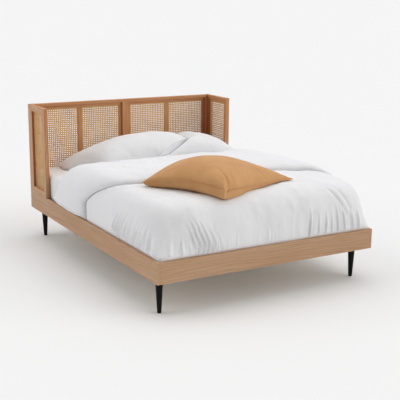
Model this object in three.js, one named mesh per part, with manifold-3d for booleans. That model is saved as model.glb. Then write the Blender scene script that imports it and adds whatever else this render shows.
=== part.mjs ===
// A double bed in oak and woven cane, dressed with its mattress, duvet, pillows and cushion.
// Millimetres: X runs across the bed, +Y towards the head and +Z up. The origin is on the floor under the
// middle of the bed.

import * as THREE from 'three';
import { mergeVertices } from 'three/addons/utils/BufferGeometryUtils.js';
import Module from 'manifold-3d';

const wasm = await Module();
wasm.setup();

// Driving dimensions

// Gap kept between pieces that are glued, screwed or laid together
const JOINT_GAP = 0.3;

// Mattress and the room round it
const MATTRESS_WIDTH = 1400;
const MATTRESS_LENGTH = 1900;
const MATTRESS_THICKNESS = 200;
const MATTRESS_EDGE_RADIUS = 24;
const MATTRESS_SIDE_CLEARANCE = 17;
const MATTRESS_FOOT_CLEARANCE = 14;
const MATTRESS_HEAD_CLEARANCE = 3;
const MATTRESS_RECESS = 42;

// Rails
const RAIL_HEIGHT = 122;
const RAIL_THICKNESS = 18;
const HEAD_RAIL_THICKNESS = 20;

// Legs
const LEG_HEIGHT = 200;
const LEG_TOP_RADIUS = 23;
const LEG_FOOT_RADIUS = 12;
const LEG_GLIDE_RADIUS = 9.5;
const LEG_GLIDE_HEIGHT = 3;
const LEG_INSET_SIDE = 65;
const LEG_INSET_FOOT = 105;
const LEG_INSET_HEAD = 97;
const LEG_STUD_RADIUS = 4;
const LEG_STUD_LENGTH = 26;
const STUD_CLEARANCE = 0.5;
const STUD_BORE_OVERRUN = 5;
const BLOCK_MARGIN = 24;

// Slats, the cleats and the beam under them
const SLAT_COUNT = 13;
const SLAT_WIDTH = 70;
const SLAT_THICKNESS = 18;
const SLAT_END_CLEARANCE = 2;
const SLAT_ROW_MARGIN = 45;
const CLEAT_HEIGHT = 30;
const CLEAT_THICKNESS = 24;
const BEAM_WIDTH = 45;
const BEAM_HEIGHT = 56;
const HANGER_PLATE = 3;
const HANGER_SEAT_DEPTH = 40;
const HANGER_CHEEK_HEIGHT = 40;
const HANGER_EAR_WIDTH = 22;

// Centre support leg and its levelling foot
const SUPPORT_RADIUS = 16;
const SUPPORT_FLANGE_RADIUS = 21;
const SUPPORT_FLANGE_HEIGHT = 4;
const SUPPORT_FLOOR_CLEARANCE = 30;
const LEVEL_PAD_RADIUS = 20;
const LEVEL_PAD_HEIGHT = 8;
const LEVEL_STUD_RADIUS = 4;
const LEVEL_STUD_ENGAGED = 40;
const LEVEL_BORE_CLEARANCE = 0.5;
const LEVEL_TRAVEL = 10;

// Headboard and wings: a surround of rebated members with cane panels
const SURROUND_HEIGHT = 618;
const MEMBER_WIDTH = 40;
const BEAD_WIDTH = 20;
const HEADBOARD_THICKNESS = 40;
const HEADBOARD_BEAD_SETBACK = 16;
const WING_THICKNESS = 28;
const WING_BEAD_SETBACK = 6;
const WING_LENGTH = 315;
const WING_REAR_COVER = 30;
const STILE_WIDTH = 48;
const MULLION_WIDTH = 30;

// Cane panels
const CANE_THICKNESS = 3;
const CANE_SETBACK = 3;
const CANE_PITCH = 58;
const CANE_STRAND = 13;
const CANE_BORDER = 12;

// Sheet and duvet
const SHEET_THICKNESS = 1.2;
const DUVET_LOFT = 126;
const DUVET_FLAP_LOFT = 22;
const DUVET_BULGE = 27;
const DUVET_HEM_THICKNESS = 9;
const DUVET_TUCK = 18;
const DUVET_SKIRT_FULLNESS = 0.7;
const DUVET_SHOULDER_POWER = 3.2;
const DUVET_FOOT_ROUNDING = 220;
const DUVET_SIDE_ROUNDING = 150;
const DUVET_FOLD_BASE = 76;
const DUVET_DRAW_IN = 26;
const FLAP_HEM_FROM_HEAD = 1300;
const FLAP_FOLD_FROM_HEAD = 645;
const FLAP_FOLD_SIDE_FORWARD = 160;
const FLAP_HEM_LEFT_FORWARD = 290;
const FLAP_HEM_RIGHT_BACK = 340;
const FLAP_HEM_SLANT_FROM = 0.4;
const FLAP_HEM_STEP = 22;

// Pillows: each lies a little turned, its outer end sunk on the mattress and its rear edge at the headboard
const PILLOW_DEPTH = 520;
const PILLOW_CROWN = 148;
const PILLOW_BELLY = 78;
const PILLOW_LEAN = 0.06;
const PILLOW_PINCH = 0.07;
const LEFT_PILLOW_WIDTH = 830;
const LEFT_PILLOW_X = -145;
const LEFT_PILLOW_ROLL = 0.15;
const RIGHT_PILLOW_WIDTH = 640;
const RIGHT_PILLOW_FROM_WING = 8;
const RIGHT_PILLOW_ROLL = -0.05;
const PILLOW_MEETING_X = 215;
const PILLOW_MEETING_SLANT = 0.35;

// Cushion
const CUSHION_LENGTH = 690;
const CUSHION_WIDTH = 570;
const CUSHION_CROWN = 122;
const CUSHION_BELLY = 26;
const CUSHION_X = -95;
const CUSHION_FROM_HEAD = 1515;
const CUSHION_TURN = 0.415;
const CUSHION_TILT = 0.06;
const CUSHION_PINCH = 0.1;

// Fineness of round and soft surfaces
const LEG_SIDES = 24;
const BORE_SIDES = 16;
const MATTRESS_EDGE_STEPS = 4;
const ROUND_STEPS = 6;
const TOP_STEPS = 6;
const MIDDLE_STEPS = 4;
const FLAP_STEPS = 3;
const PLUMP_POWER = 0.6;
const PLUMP_COLUMNS = 18;
const PLUMP_ROWS = 14;
const MERGE_DISTANCE = 1e-3;

// Places worked out from the sizes

const innerHalfWidth = MATTRESS_WIDTH / 2 + MATTRESS_SIDE_CLEARANCE;
const outerHalfWidth = innerHalfWidth + RAIL_THICKNESS;
const wingInnerX = outerHalfWidth - WING_THICKNESS;
const bedLength = RAIL_THICKNESS + MATTRESS_FOOT_CLEARANCE + MATTRESS_LENGTH
  + MATTRESS_HEAD_CLEARANCE + HEADBOARD_THICKNESS;
const footY = -bedLength / 2;
const headY = bedLength / 2;
const footInnerY = footY + RAIL_THICKNESS;
const headboardFrontY = headY - HEADBOARD_THICKNESS;
const headRailInnerY = headY - HEAD_RAIL_THICKNESS;
const mattressFootY = footInnerY + MATTRESS_FOOT_CLEARANCE;
const mattressHeadY = mattressFootY + MATTRESS_LENGTH;

const railBottomZ = LEG_HEIGHT;
const railTopZ = railBottomZ + RAIL_HEIGHT;
const slatTopZ = railTopZ - MATTRESS_RECESS;
const slatBottomZ = slatTopZ - SLAT_THICKNESS;
const cleatTopZ = slatBottomZ - JOINT_GAP;
const cleatBottomZ = cleatTopZ - CLEAT_HEIGHT;
const beamBottomZ = cleatTopZ - BEAM_HEIGHT;
const surroundTopZ = railTopZ + SURROUND_HEIGHT;
const surroundBottomZ = railTopZ + JOINT_GAP;
const mattressBottomZ = slatTopZ + JOINT_GAP;
const mattressTopZ = mattressBottomZ + MATTRESS_THICKNESS;
const sheetTopZ = mattressTopZ + JOINT_GAP + SHEET_THICKNESS;
const sheetSideX = MATTRESS_WIDTH / 2 + JOINT_GAP + SHEET_THICKNESS;
const sheetFootY = mattressFootY - JOINT_GAP - SHEET_THICKNESS;

// Materials

function material(name, color, roughness, metalness = 0) {
  return new THREE.MeshStandardMaterial({ name, color, roughness, metalness });
}

const oakFrame = () => material('oak', '#b8946c', 0.6);
const oakSurround = () => material('oak_surround', '#a5764f', 0.6);
const pine = () => material('pine', '#d8bd92', 0.7);
const blackLacquer = () => material('black_lacquer', '#171717', 0.45);
const steel = () => material('zinc_steel', '#b9bcbf', 0.4, 0.9);
const rubber = () => material('level_foot', '#26262a', 0.6);
const cane = () => material('cane', '#d3b288', 0.75);
const whiteCotton = () => material('white_cotton', '#e9e9eb', 0.95);
const ticking = () => material('mattress_cover', '#e4e2dd', 0.95);
const camelLinen = () => material('camel_linen', '#c98f55', 0.95);

// Scene helpers

const bed = new THREE.Group();
bed.name = 'rattan_bed';

function addMesh(name, geometry, finish, parent = bed) {
  const mesh = new THREE.Mesh(geometry, finish);
  mesh.name = name;
  parent.add(mesh);
  return mesh;
}

// A box from its low corner to its high corner
function boxBetween(low, high) {
  const size = high.map((value, axis) => value - low[axis]);
  const geometry = new THREE.BoxGeometry(...size);
  return geometry.translate(...low.map((value, axis) => value + size[axis] / 2));
}

// A flat outline in X and Z, given thickness along Y
function slab(points, fromY, toY) {
  const shape = new THREE.Shape(points.map(([x, z]) => new THREE.Vector2(x, z)));
  const geometry = new THREE.ExtrudeGeometry(shape, { depth: toY - fromY, bevelEnabled: false });
  geometry.rotateX(Math.PI / 2);
  return geometry.translate(0, toY, 0);
}

function rectangle(left, bottom, right, top) {
  return [[left, bottom], [right, bottom], [right, top], [left, top]];
}

// Solids that are joined or cut

function toSolid(source) {
  const bare = source.clone();
  bare.deleteAttribute('normal');
  bare.deleteAttribute('uv');
  const merged = mergeVertices(bare);
  const vertProperties = new Float32Array(merged.attributes.position.array);
  const triVerts = new Uint32Array(merged.index.array);
  return new wasm.Manifold(new wasm.Mesh({ numProp: 3, vertProperties, triVerts }));
}

function toGeometry(solid) {
  const mesh = solid.getMesh();
  const geometry = new THREE.BufferGeometry();
  geometry.setAttribute('position', new THREE.BufferAttribute(mesh.vertProperties, 3));
  geometry.setIndex(new THREE.BufferAttribute(mesh.triVerts, 1));
  geometry.computeVertexNormals();
  return geometry;
}

function joined(...parts) {
  return toGeometry(parts.map(toSolid).reduce((whole, part) => whole.add(part)));
}

function cut(body, ...tools) {
  return toGeometry(tools.map(toSolid).reduce((left, tool) => left.subtract(tool), toSolid(body)));
}

// Rails

function addRails() {
  for (const [name, side] of [['side_rail_left', -1], ['side_rail_right', 1]]) {
    const faces = [side * innerHalfWidth, side * outerHalfWidth];
    const low = [Math.min(...faces), footY, railBottomZ];
    const high = [Math.max(...faces), headY, railTopZ];
    addMesh(name, boxBetween(low, high), oakFrame());
  }
  const reach = innerHalfWidth - JOINT_GAP;
  const footRail = boxBetween([-reach, footY, railBottomZ], [reach, footInnerY, railTopZ]);
  const headRail = boxBetween([-reach, headRailInnerY, railBottomZ], [reach, headY, railTopZ]);
  addMesh('foot_rail', footRail, oakFrame());
  addMesh('head_rail', headRail, oakFrame());
}

// Legs, each with the hanger bolt that goes up into a corner block

const legX = outerHalfWidth - LEG_INSET_SIDE;
const legPlaces = [
  { name: 'foot_left', x: -legX, y: footY + LEG_INSET_FOOT, railY: footInnerY },
  { name: 'foot_right', x: legX, y: footY + LEG_INSET_FOOT, railY: footInnerY },
  { name: 'head_left', x: -legX, y: headY - LEG_INSET_HEAD, railY: headRailInnerY },
  { name: 'head_right', x: legX, y: headY - LEG_INSET_HEAD, railY: headRailInnerY },
];

function revolved(profile, sides) {
  const geometry = new THREE.LatheGeometry(profile.map(([r, z]) => new THREE.Vector2(r, z)), sides);
  return geometry.rotateX(Math.PI / 2);
}

function addLegs() {
  const topZ = railBottomZ - JOINT_GAP;
  const profile = [
    [0, 0],
    [LEG_GLIDE_RADIUS, 0],
    [LEG_FOOT_RADIUS, LEG_GLIDE_HEIGHT],
    [LEG_TOP_RADIUS, topZ],
    [LEG_STUD_RADIUS, topZ],
    [LEG_STUD_RADIUS, topZ + LEG_STUD_LENGTH],
    [0, topZ + LEG_STUD_LENGTH],
  ];
  for (const { name, x, y } of legPlaces) {
    addMesh(`leg_${name}`, revolved(profile, LEG_SIDES), blackLacquer()).position.set(x, y, 0);
  }
}

// A block fills each corner from the rails to just past the leg
function addCornerBlocks() {
  const topZ = cleatBottomZ - JOINT_GAP;
  for (const { name, x, y, railY } of legPlaces) {
    const sideways = Math.sign(x);
    const lengthways = Math.sign(y);
    const reach = LEG_TOP_RADIUS + BLOCK_MARGIN;
    const outer = [sideways * (innerHalfWidth - JOINT_GAP), railY - lengthways * JOINT_GAP];
    const inner = [x - sideways * reach, y - lengthways * reach];
    const low = [Math.min(outer[0], inner[0]), Math.min(outer[1], inner[1]), railBottomZ];
    const high = [Math.max(outer[0], inner[0]), Math.max(outer[1], inner[1]), topZ];
    const boreRadius = LEG_STUD_RADIUS + STUD_CLEARANCE;
    const boreLength = topZ - railBottomZ + 2 * STUD_BORE_OVERRUN;
    const bore = new THREE.CylinderGeometry(boreRadius, boreRadius, boreLength, BORE_SIDES);
    bore.rotateX(Math.PI / 2).translate(x, y, (topZ + railBottomZ) / 2);
    addMesh(`corner_block_${name}`, cut(boxBetween(low, high), bore), pine());
  }
}

// Slats and what carries them

function addSlats() {
  const reach = innerHalfWidth - SLAT_END_CLEARANCE;
  const firstY = footInnerY + SLAT_ROW_MARGIN;
  const lastY = headRailInnerY - SLAT_ROW_MARGIN - SLAT_WIDTH;
  for (let n = 0; n < SLAT_COUNT; n++) {
    const y = firstY + (lastY - firstY) * n / (SLAT_COUNT - 1);
    const low = [-reach, y, slatBottomZ];
    const high = [reach, y + SLAT_WIDTH, slatTopZ];
    addMesh(`slat_${String(n + 1).padStart(2, '0')}`, boxBetween(low, high), pine());
  }
}

function addCleats() {
  for (const [name, side] of [['slat_cleat_left', -1], ['slat_cleat_right', 1]]) {
    const outerX = innerHalfWidth - JOINT_GAP;
    const faces = [side * outerX, side * (outerX - CLEAT_THICKNESS)];
    const low = [Math.min(...faces), footInnerY + JOINT_GAP, cleatBottomZ];
    const high = [Math.max(...faces), headRailInnerY - JOINT_GAP, cleatTopZ];
    addMesh(name, boxBetween(low, high), pine());
  }
}

const beamEndRoom = 2 * JOINT_GAP + HANGER_PLATE;

function addBeam() {
  const low = [-BEAM_WIDTH / 2, footInnerY + beamEndRoom, beamBottomZ];
  const high = [BEAM_WIDTH / 2, headRailInnerY - beamEndRoom, cleatTopZ];
  addMesh('centre_beam', boxBetween(low, high), pine());
}

// A steel stirrup: back plate with ears, a seat under the beam and a cheek on each side of it
function addBeamHangers() {
  const seatTopZ = beamBottomZ - JOINT_GAP;
  const cheekX = BEAM_WIDTH / 2 + JOINT_GAP;
  const outerX = cheekX + HANGER_PLATE;
  const places = [
    ['beam_hanger_foot', footInnerY, 1],
    ['beam_hanger_head', headRailInnerY, -1],
  ];
  for (const [name, railY, inward] of places) {
    const backY = railY + inward * JOINT_GAP;
    const plateY = backY + inward * HANGER_PLATE;
    const endY = backY + inward * HANGER_SEAT_DEPTH;
    const piece = (lowX, highX, nearY, farY, lowZ, highZ) => boxBetween(
      [lowX, Math.min(nearY, farY), lowZ], [highX, Math.max(nearY, farY), highZ]);
    const bottomZ = seatTopZ - HANGER_PLATE;
    const topZ = seatTopZ + HANGER_CHEEK_HEIGHT;
    const earX = outerX + HANGER_EAR_WIDTH;
    const plate = piece(-earX, earX, backY, plateY, bottomZ, topZ);
    const seat = piece(-outerX, outerX, backY, endY, bottomZ, seatTopZ);
    const cheekLeft = piece(-outerX, -cheekX, backY, endY, bottomZ, topZ);
    const cheekRight = piece(cheekX, outerX, backY, endY, bottomZ, topZ);
    addMesh(name, joined(plate, seat, cheekLeft, cheekRight), steel());
  }
}

// Support leg under the beam's middle, with a blind bore for the levelling foot's stud

const studTopZ = SUPPORT_FLOOR_CLEARANCE + LEVEL_STUD_ENGAGED;
const supportBoreRadius = LEVEL_STUD_RADIUS + LEVEL_BORE_CLEARANCE;

function addSupport() {
  const topZ = beamBottomZ - JOINT_GAP;
  const boreTopZ = studTopZ + LEVEL_TRAVEL + LEVEL_BORE_CLEARANCE;
  const legProfile = [
    [0, boreTopZ],
    [supportBoreRadius, boreTopZ],
    [supportBoreRadius, SUPPORT_FLOOR_CLEARANCE],
    [SUPPORT_RADIUS, SUPPORT_FLOOR_CLEARANCE],
    [SUPPORT_RADIUS, topZ - SUPPORT_FLANGE_HEIGHT],
    [SUPPORT_FLANGE_RADIUS, topZ - SUPPORT_FLANGE_HEIGHT],
    [SUPPORT_FLANGE_RADIUS, topZ],
    [0, topZ],
  ];
  addMesh('support_leg', revolved(legProfile, BORE_SIDES), steel());
  const footProfile = [
    [0, 0],
    [LEVEL_PAD_RADIUS, 0],
    [LEVEL_PAD_RADIUS, LEVEL_PAD_HEIGHT],
    [LEVEL_STUD_RADIUS, LEVEL_PAD_HEIGHT],
    [LEVEL_STUD_RADIUS, studTopZ],
    [0, studTopZ],
  ];
  addMesh('levelling_foot', revolved(footProfile, BORE_SIDES), rubber());
}

// Rebated members of the headboard and wings
//
// A member lies along one side of an opening. Its bead, next to the cane, is set back from the face.
// Its ends are mitred at 45 degrees. Cover is the plain width that it has beyond the mitred corner.
// The frame is drawn in X and Z, with its face at Y = 0 and its back at Y = thickness.

const blockWidth = MEMBER_WIDTH - BEAD_WIDTH;
const mitreTrim = JOINT_GAP * Math.SQRT1_2;

// The outline of a member on the low-X side, from its outer edge in to the given width
function stileOutline(opening, width, cover) {
  const outerX = opening.left - MEMBER_WIDTH;
  const lowZ = opening.bottom - MEMBER_WIDTH;
  const highZ = opening.top + MEMBER_WIDTH;
  const mitred = [
    [outerX, lowZ + mitreTrim],
    [outerX + width, lowZ + width + mitreTrim],
    [outerX + width, highZ - width - mitreTrim],
    [outerX, highZ - mitreTrim],
  ];
  const covered = [[outerX, highZ], [outerX - cover, highZ], [outerX - cover, lowZ], [outerX, lowZ]];
  return cover > 0 ? [...mitred, ...covered] : mitred;
}

function stile(opening, thickness, setback, cover) {
  const bead = slab(stileOutline(opening, MEMBER_WIDTH, cover), setback, thickness);
  const block = slab(stileOutline(opening, blockWidth, cover), 0, setback);
  return joined(bead, block);
}

// The outline of a member on the low-Z side
function railOutline(opening, width) {
  const leftX = opening.left - MEMBER_WIDTH;
  const rightX = opening.right + MEMBER_WIDTH;
  const lowZ = opening.bottom - MEMBER_WIDTH;
  return [
    [leftX + mitreTrim, lowZ],
    [rightX - mitreTrim, lowZ],
    [rightX - width - mitreTrim, lowZ + width],
    [leftX + width + mitreTrim, lowZ + width],
  ];
}

function lowRail(opening, thickness, setback) {
  const bead = slab(railOutline(opening, MEMBER_WIDTH), setback, thickness);
  const block = slab(railOutline(opening, blockWidth), 0, setback);
  return joined(bead, block);
}

// The same piece turned end for end about Y, for the opposite side of the opening
function opposite(geometry, opening) {
  const turned = geometry.clone();
  turned.translate(-(opening.left + opening.right) / 2, 0, -(opening.bottom + opening.top) / 2);
  turned.rotateY(Math.PI);
  turned.translate((opening.left + opening.right) / 2, 0, (opening.bottom + opening.top) / 2);
  return turned;
}

// A cane panel: a thin sheet with square gaps, drawn far coarser than the real webbing
function canePanel({ left, bottom, right, top }, faceY) {
  const low = [left + JOINT_GAP, bottom + JOINT_GAP];
  const high = [right - JOINT_GAP, top - JOINT_GAP];
  const [columns, rows] = low.map((start, axis) => {
    const room = high[axis] - start - 2 * CANE_BORDER + CANE_STRAND;
    return { count: Math.round(room / CANE_PITCH), pitch: room / Math.round(room / CANE_PITCH) };
  });
  const gaps = [];
  for (let column = 0; column < columns.count; column++) {
    for (let row = 0; row < rows.count; row++) {
      const x = low[0] + CANE_BORDER + column * columns.pitch;
      const z = low[1] + CANE_BORDER + row * rows.pitch;
      const gap = rectangle(x, z, x + columns.pitch - CANE_STRAND, z + rows.pitch - CANE_STRAND);
      gaps.push(slab(gap, faceY - CANE_THICKNESS, faceY + 2 * CANE_THICKNESS));
    }
  }
  return cut(slab(rectangle(...low, ...high), faceY, faceY + CANE_THICKNESS), ...gaps);
}

// Headboard, between the wings

function addHeadboard() {
  const group = new THREE.Group();
  group.position.y = headboardFrontY;
  bed.add(group);
  const halfOpening = wingInnerX - JOINT_GAP - MEMBER_WIDTH;
  const opening = {
    left: -halfOpening,
    right: halfOpening,
    bottom: surroundBottomZ + MEMBER_WIDTH,
    top: surroundTopZ - MEMBER_WIDTH,
  };
  const setback = HEADBOARD_BEAD_SETBACK;
  const thickness = HEADBOARD_THICKNESS;
  const post = stile(opening, thickness, setback, 0);
  const rail = lowRail(opening, thickness, setback);
  addMesh('headboard_post_left', post, oakSurround(), group);
  addMesh('headboard_post_right', opposite(post, opening), oakSurround(), group);
  addMesh('headboard_bottom_rail', rail, oakSurround(), group);
  addMesh('headboard_top_rail', opposite(rail, opening), oakSurround(), group);

  const lowZ = opening.bottom + JOINT_GAP;
  const highZ = opening.top - JOINT_GAP;
  const stileX = STILE_WIDTH / 2;
  const beadX = stileX + BEAD_WIDTH;
  const frontFace = rectangle(-stileX, lowZ - BEAD_WIDTH, stileX, highZ + BEAD_WIDTH);
  const front = slab(frontFace, 0, setback - JOINT_GAP);
  const core = slab(rectangle(-stileX, lowZ, stileX, highZ), 0, thickness);
  const beads = slab(rectangle(-beadX, lowZ, beadX, highZ), setback, thickness);
  addMesh('headboard_centre_stile', joined(front, core, beads), oakSurround(), group);

  const mullionX = (beadX + halfOpening) / 2;
  const caneY = setback + CANE_SETBACK;
  for (const [name, side] of [['left', -1], ['right', 1]]) {
    const leftX = side * mullionX - MULLION_WIDTH / 2;
    const bar = slab(rectangle(leftX, lowZ, leftX + MULLION_WIDTH, highZ), setback, thickness);
    addMesh(`headboard_mullion_${name}`, bar, oakSurround(), group);
    const edges = [beadX, mullionX - MULLION_WIDTH / 2, mullionX + MULLION_WIDTH / 2, halfOpening];
    for (const [place, near, far] of [['inner', edges[0], edges[1]], ['outer', edges[2], edges[3]]]) {
      const left = Math.min(side * near, side * far);
      const right = Math.max(side * near, side * far);
      const panel = canePanel({ ...opening, left, right }, caneY);
      addMesh(`headboard_cane_${name}_${place}`, panel, cane(), group);
    }
  }
}

// Wings, standing on the side rails

function addWing(name, side) {
  const group = new THREE.Group();
  group.position.x = side * wingInnerX;
  group.rotation.z = -side * Math.PI / 2;
  bed.add(group);
  const frontY = headY - WING_LENGTH + MEMBER_WIDTH;
  const rearY = headY - WING_REAR_COVER - MEMBER_WIDTH;
  const ends = [-side * frontY, -side * rearY];
  const opening = {
    left: Math.min(...ends),
    right: Math.max(...ends),
    bottom: surroundBottomZ + MEMBER_WIDTH,
    top: surroundTopZ - MEMBER_WIDTH,
  };
  const rearStile = stile(opening, WING_THICKNESS, WING_BEAD_SETBACK, WING_REAR_COVER);
  const frontStile = stile(opening, WING_THICKNESS, WING_BEAD_SETBACK, 0);
  const rail = lowRail(opening, WING_THICKNESS, WING_BEAD_SETBACK);
  const rearIsLow = side > 0;
  const turned = geometry => opposite(geometry, opening);
  addMesh(`wing_rear_stile_${name}`, rearIsLow ? rearStile : turned(rearStile), oakSurround(), group);
  addMesh(`wing_front_stile_${name}`, rearIsLow ? turned(frontStile) : frontStile, oakSurround(), group);
  addMesh(`wing_bottom_rail_${name}`, rail, oakSurround(), group);
  addMesh(`wing_top_rail_${name}`, turned(rail), oakSurround(), group);
  const panel = canePanel(opening, WING_BEAD_SETBACK + CANE_SETBACK);
  addMesh(`wing_cane_${name}`, panel, cane(), group);
}

// Mattress and fitted sheet

// The mattress block grown by some amount all round
function mattressBlock(grown) {
  const radius = MATTRESS_EDGE_RADIUS + grown;
  const halfWidth = MATTRESS_WIDTH / 2 + grown - radius;
  const halfLength = MATTRESS_LENGTH / 2 + grown - radius;
  const outline = new THREE.Shape(rectangle(-halfWidth, -halfLength, halfWidth, halfLength)
    .map(([x, y]) => new THREE.Vector2(x, y)));
  const geometry = new THREE.ExtrudeGeometry(outline, {
    depth: MATTRESS_THICKNESS + 2 * grown - 2 * radius,
    bevelThickness: radius,
    bevelSize: radius,
    bevelSegments: MATTRESS_EDGE_STEPS,
  });
  return geometry.translate(0, (mattressFootY + mattressHeadY) / 2, mattressBottomZ - grown + radius);
}

function addMattress() {
  addMesh('mattress', mattressBlock(0), ticking());
  const outer = mattressBlock(JOINT_GAP + SHEET_THICKNESS);
  const inner = mattressBlock(JOINT_GAP);
  const below = boxBetween(
    [-outerHalfWidth, footY, 0], [outerHalfWidth, headY, mattressBottomZ + MATTRESS_EDGE_RADIUS]);
  addMesh('fitted_sheet', cut(outer, inner, below), whiteCotton());
}

// Soft surfaces, as rows of points joined into quads

function surfaceFrom(patches) {
  const positions = [];
  for (const { rows, flip } of patches) {
    for (let r = 0; r + 1 < rows.length; r++) {
      for (let c = 0; c + 1 < rows[r].length; c++) {
        const corners = [rows[r][c], rows[r][c + 1], rows[r + 1][c + 1], rows[r + 1][c]];
        if (flip) corners.reverse();
        for (const n of [0, 1, 2, 0, 2, 3]) positions.push(...corners[n]);
      }
    }
  }
  const geometry = new THREE.BufferGeometry();
  geometry.setAttribute('position', new THREE.Float32BufferAttribute(positions, 3));
  const merged = mergeVertices(geometry, MERGE_DISTANCE);
  return withoutSlivers(merged);
}

// Triangles whose corners have merged into one another are left out
function withoutSlivers(geometry) {
  const kept = [];
  const index = geometry.index.array;
  for (let n = 0; n < index.length; n += 3) {
    const [a, b, c] = index.slice(n, n + 3);
    if (a !== b && b !== c && c !== a) kept.push(a, b, c);
  }
  geometry.setIndex(kept);
  geometry.computeVertexNormals();
  return geometry;
}

function blend(from, to, share) {
  return from + (to - from) * share;
}

// Duvet: a thick tray turned over the mattress, with its head end folded back on itself
//
// Columns run across the bed, from the left side over the top to the right. Rows run from the foot to the
// fold. Below the shoulder a skirt goes round the sides and foot, drawn in to a hem inside the rails.

const duvetInnerX = sheetSideX + JOINT_GAP;
const duvetInnerFootY = sheetFootY - JOINT_GAP;
const duvetInnerZ = sheetTopZ + JOINT_GAP;
const duvetTopZ = duvetInnerZ + DUVET_LOFT;
const duvetHemZ = railTopZ - DUVET_TUCK;
const duvetShoulderZ = railTopZ + DUVET_DRAW_IN;
const duvetFoldBaseZ = duvetInnerZ + DUVET_FOLD_BASE;
const duvetSkirt = [
  { z: duvetShoulderZ, out: DUVET_BULGE },
  {
    z: (duvetShoulderZ + railTopZ) / 2,
    out: blend(DUVET_HEM_THICKNESS, DUVET_BULGE, DUVET_SKIRT_FULLNESS),
  },
  { z: railTopZ + JOINT_GAP, out: DUVET_HEM_THICKNESS },
  { z: duvetHemZ, out: DUVET_HEM_THICKNESS },
];

// How far out, and how high, a rounded edge is at a step: from 1 and 0 at its foot to 0 and 1 at its top
function roundedEdge(step) {
  const angle = Math.PI / 2 * step / ROUND_STEPS;
  const power = 2 / DUVET_SHOULDER_POWER;
  return { out: Math.max(0, Math.cos(angle)) ** power, up: Math.sin(angle) ** power };
}

// Columns: place across, height share and how far round the side the column lies
function duvetColumns() {
  const flatX = duvetInnerX + DUVET_BULGE - DUVET_SIDE_ROUNDING;
  const right = [];
  for (let step = 0; step <= ROUND_STEPS; step++) {
    const { out, up } = roundedEdge(step);
    right.push({ x: flatX + DUVET_SIDE_ROUNDING * out, up, round: 1 - step / ROUND_STEPS });
  }
  const middle = [];
  for (let step = 1; step < TOP_STEPS; step++) {
    middle.push({ x: blend(-flatX, flatX, step / TOP_STEPS), up: 1, round: 0 });
  }
  const left = right.map(({ x, up, round }) => ({ x: -x, up, round }));
  return [...left, ...middle, ...right.reverse()];
}

// The hem of the flap, and the fold that is the duvet's head end, at one column
function flapHemY({ x, round }) {
  const straight = mattressHeadY - FLAP_HEM_FROM_HEAD;
  const leftShare = x < 0 ? round ** 2 : 0;
  const slantX = duvetInnerX * FLAP_HEM_SLANT_FROM;
  const rightShare = Math.max(0, (x - slantX) / (duvetInnerX + DUVET_BULGE - slantX)) ** 2;
  return straight + FLAP_HEM_LEFT_FORWARD * leftShare - FLAP_HEM_RIGHT_BACK * rightShare;
}

function flapFoldY({ round }) {
  const straight = mattressHeadY - FLAP_FOLD_FROM_HEAD;
  return straight + FLAP_FOLD_SIDE_FORWARD * round ** 2;
}

// One row: its outer and inner Y, and its top height
function duvetRows(column) {
  const footOuterY = duvetInnerFootY - DUVET_BULGE;
  const flatFootY = footOuterY + DUVET_FOOT_ROUNDING;
  const hemY = flapHemY(column);
  const foldY = flapFoldY(column);
  const flapTopZ = duvetTopZ + DUVET_FLAP_LOFT;
  const foldRounding = DUVET_LOFT;
  const rows = [];
  for (let step = 0; step <= ROUND_STEPS; step++) {
    const { out, up } = roundedEdge(step);
    rows.push({
      y: flatFootY - DUVET_FOOT_ROUNDING * out,
      innerY: blend(duvetInnerFootY, flatFootY, step / ROUND_STEPS),
      topZ: blend(duvetShoulderZ, duvetTopZ, up),
    });
  }
  for (let step = 1; step <= MIDDLE_STEPS; step++) {
    const y = blend(flatFootY, hemY - FLAP_HEM_STEP, step / MIDDLE_STEPS);
    rows.push({ y, innerY: y, topZ: duvetTopZ });
  }
  for (let step = 0; step < FLAP_STEPS; step++) {
    const y = blend(hemY, foldY - foldRounding, step / FLAP_STEPS);
    rows.push({ y, innerY: y, topZ: flapTopZ });
  }
  for (let step = ROUND_STEPS; step >= 0; step--) {
    const { out, up } = roundedEdge(step);
    const y = foldY - foldRounding * (1 - out);
    rows.push({ y, innerY: y, topZ: blend(duvetFoldBaseZ, flapTopZ, up) });
  }
  return rows;
}

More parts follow.
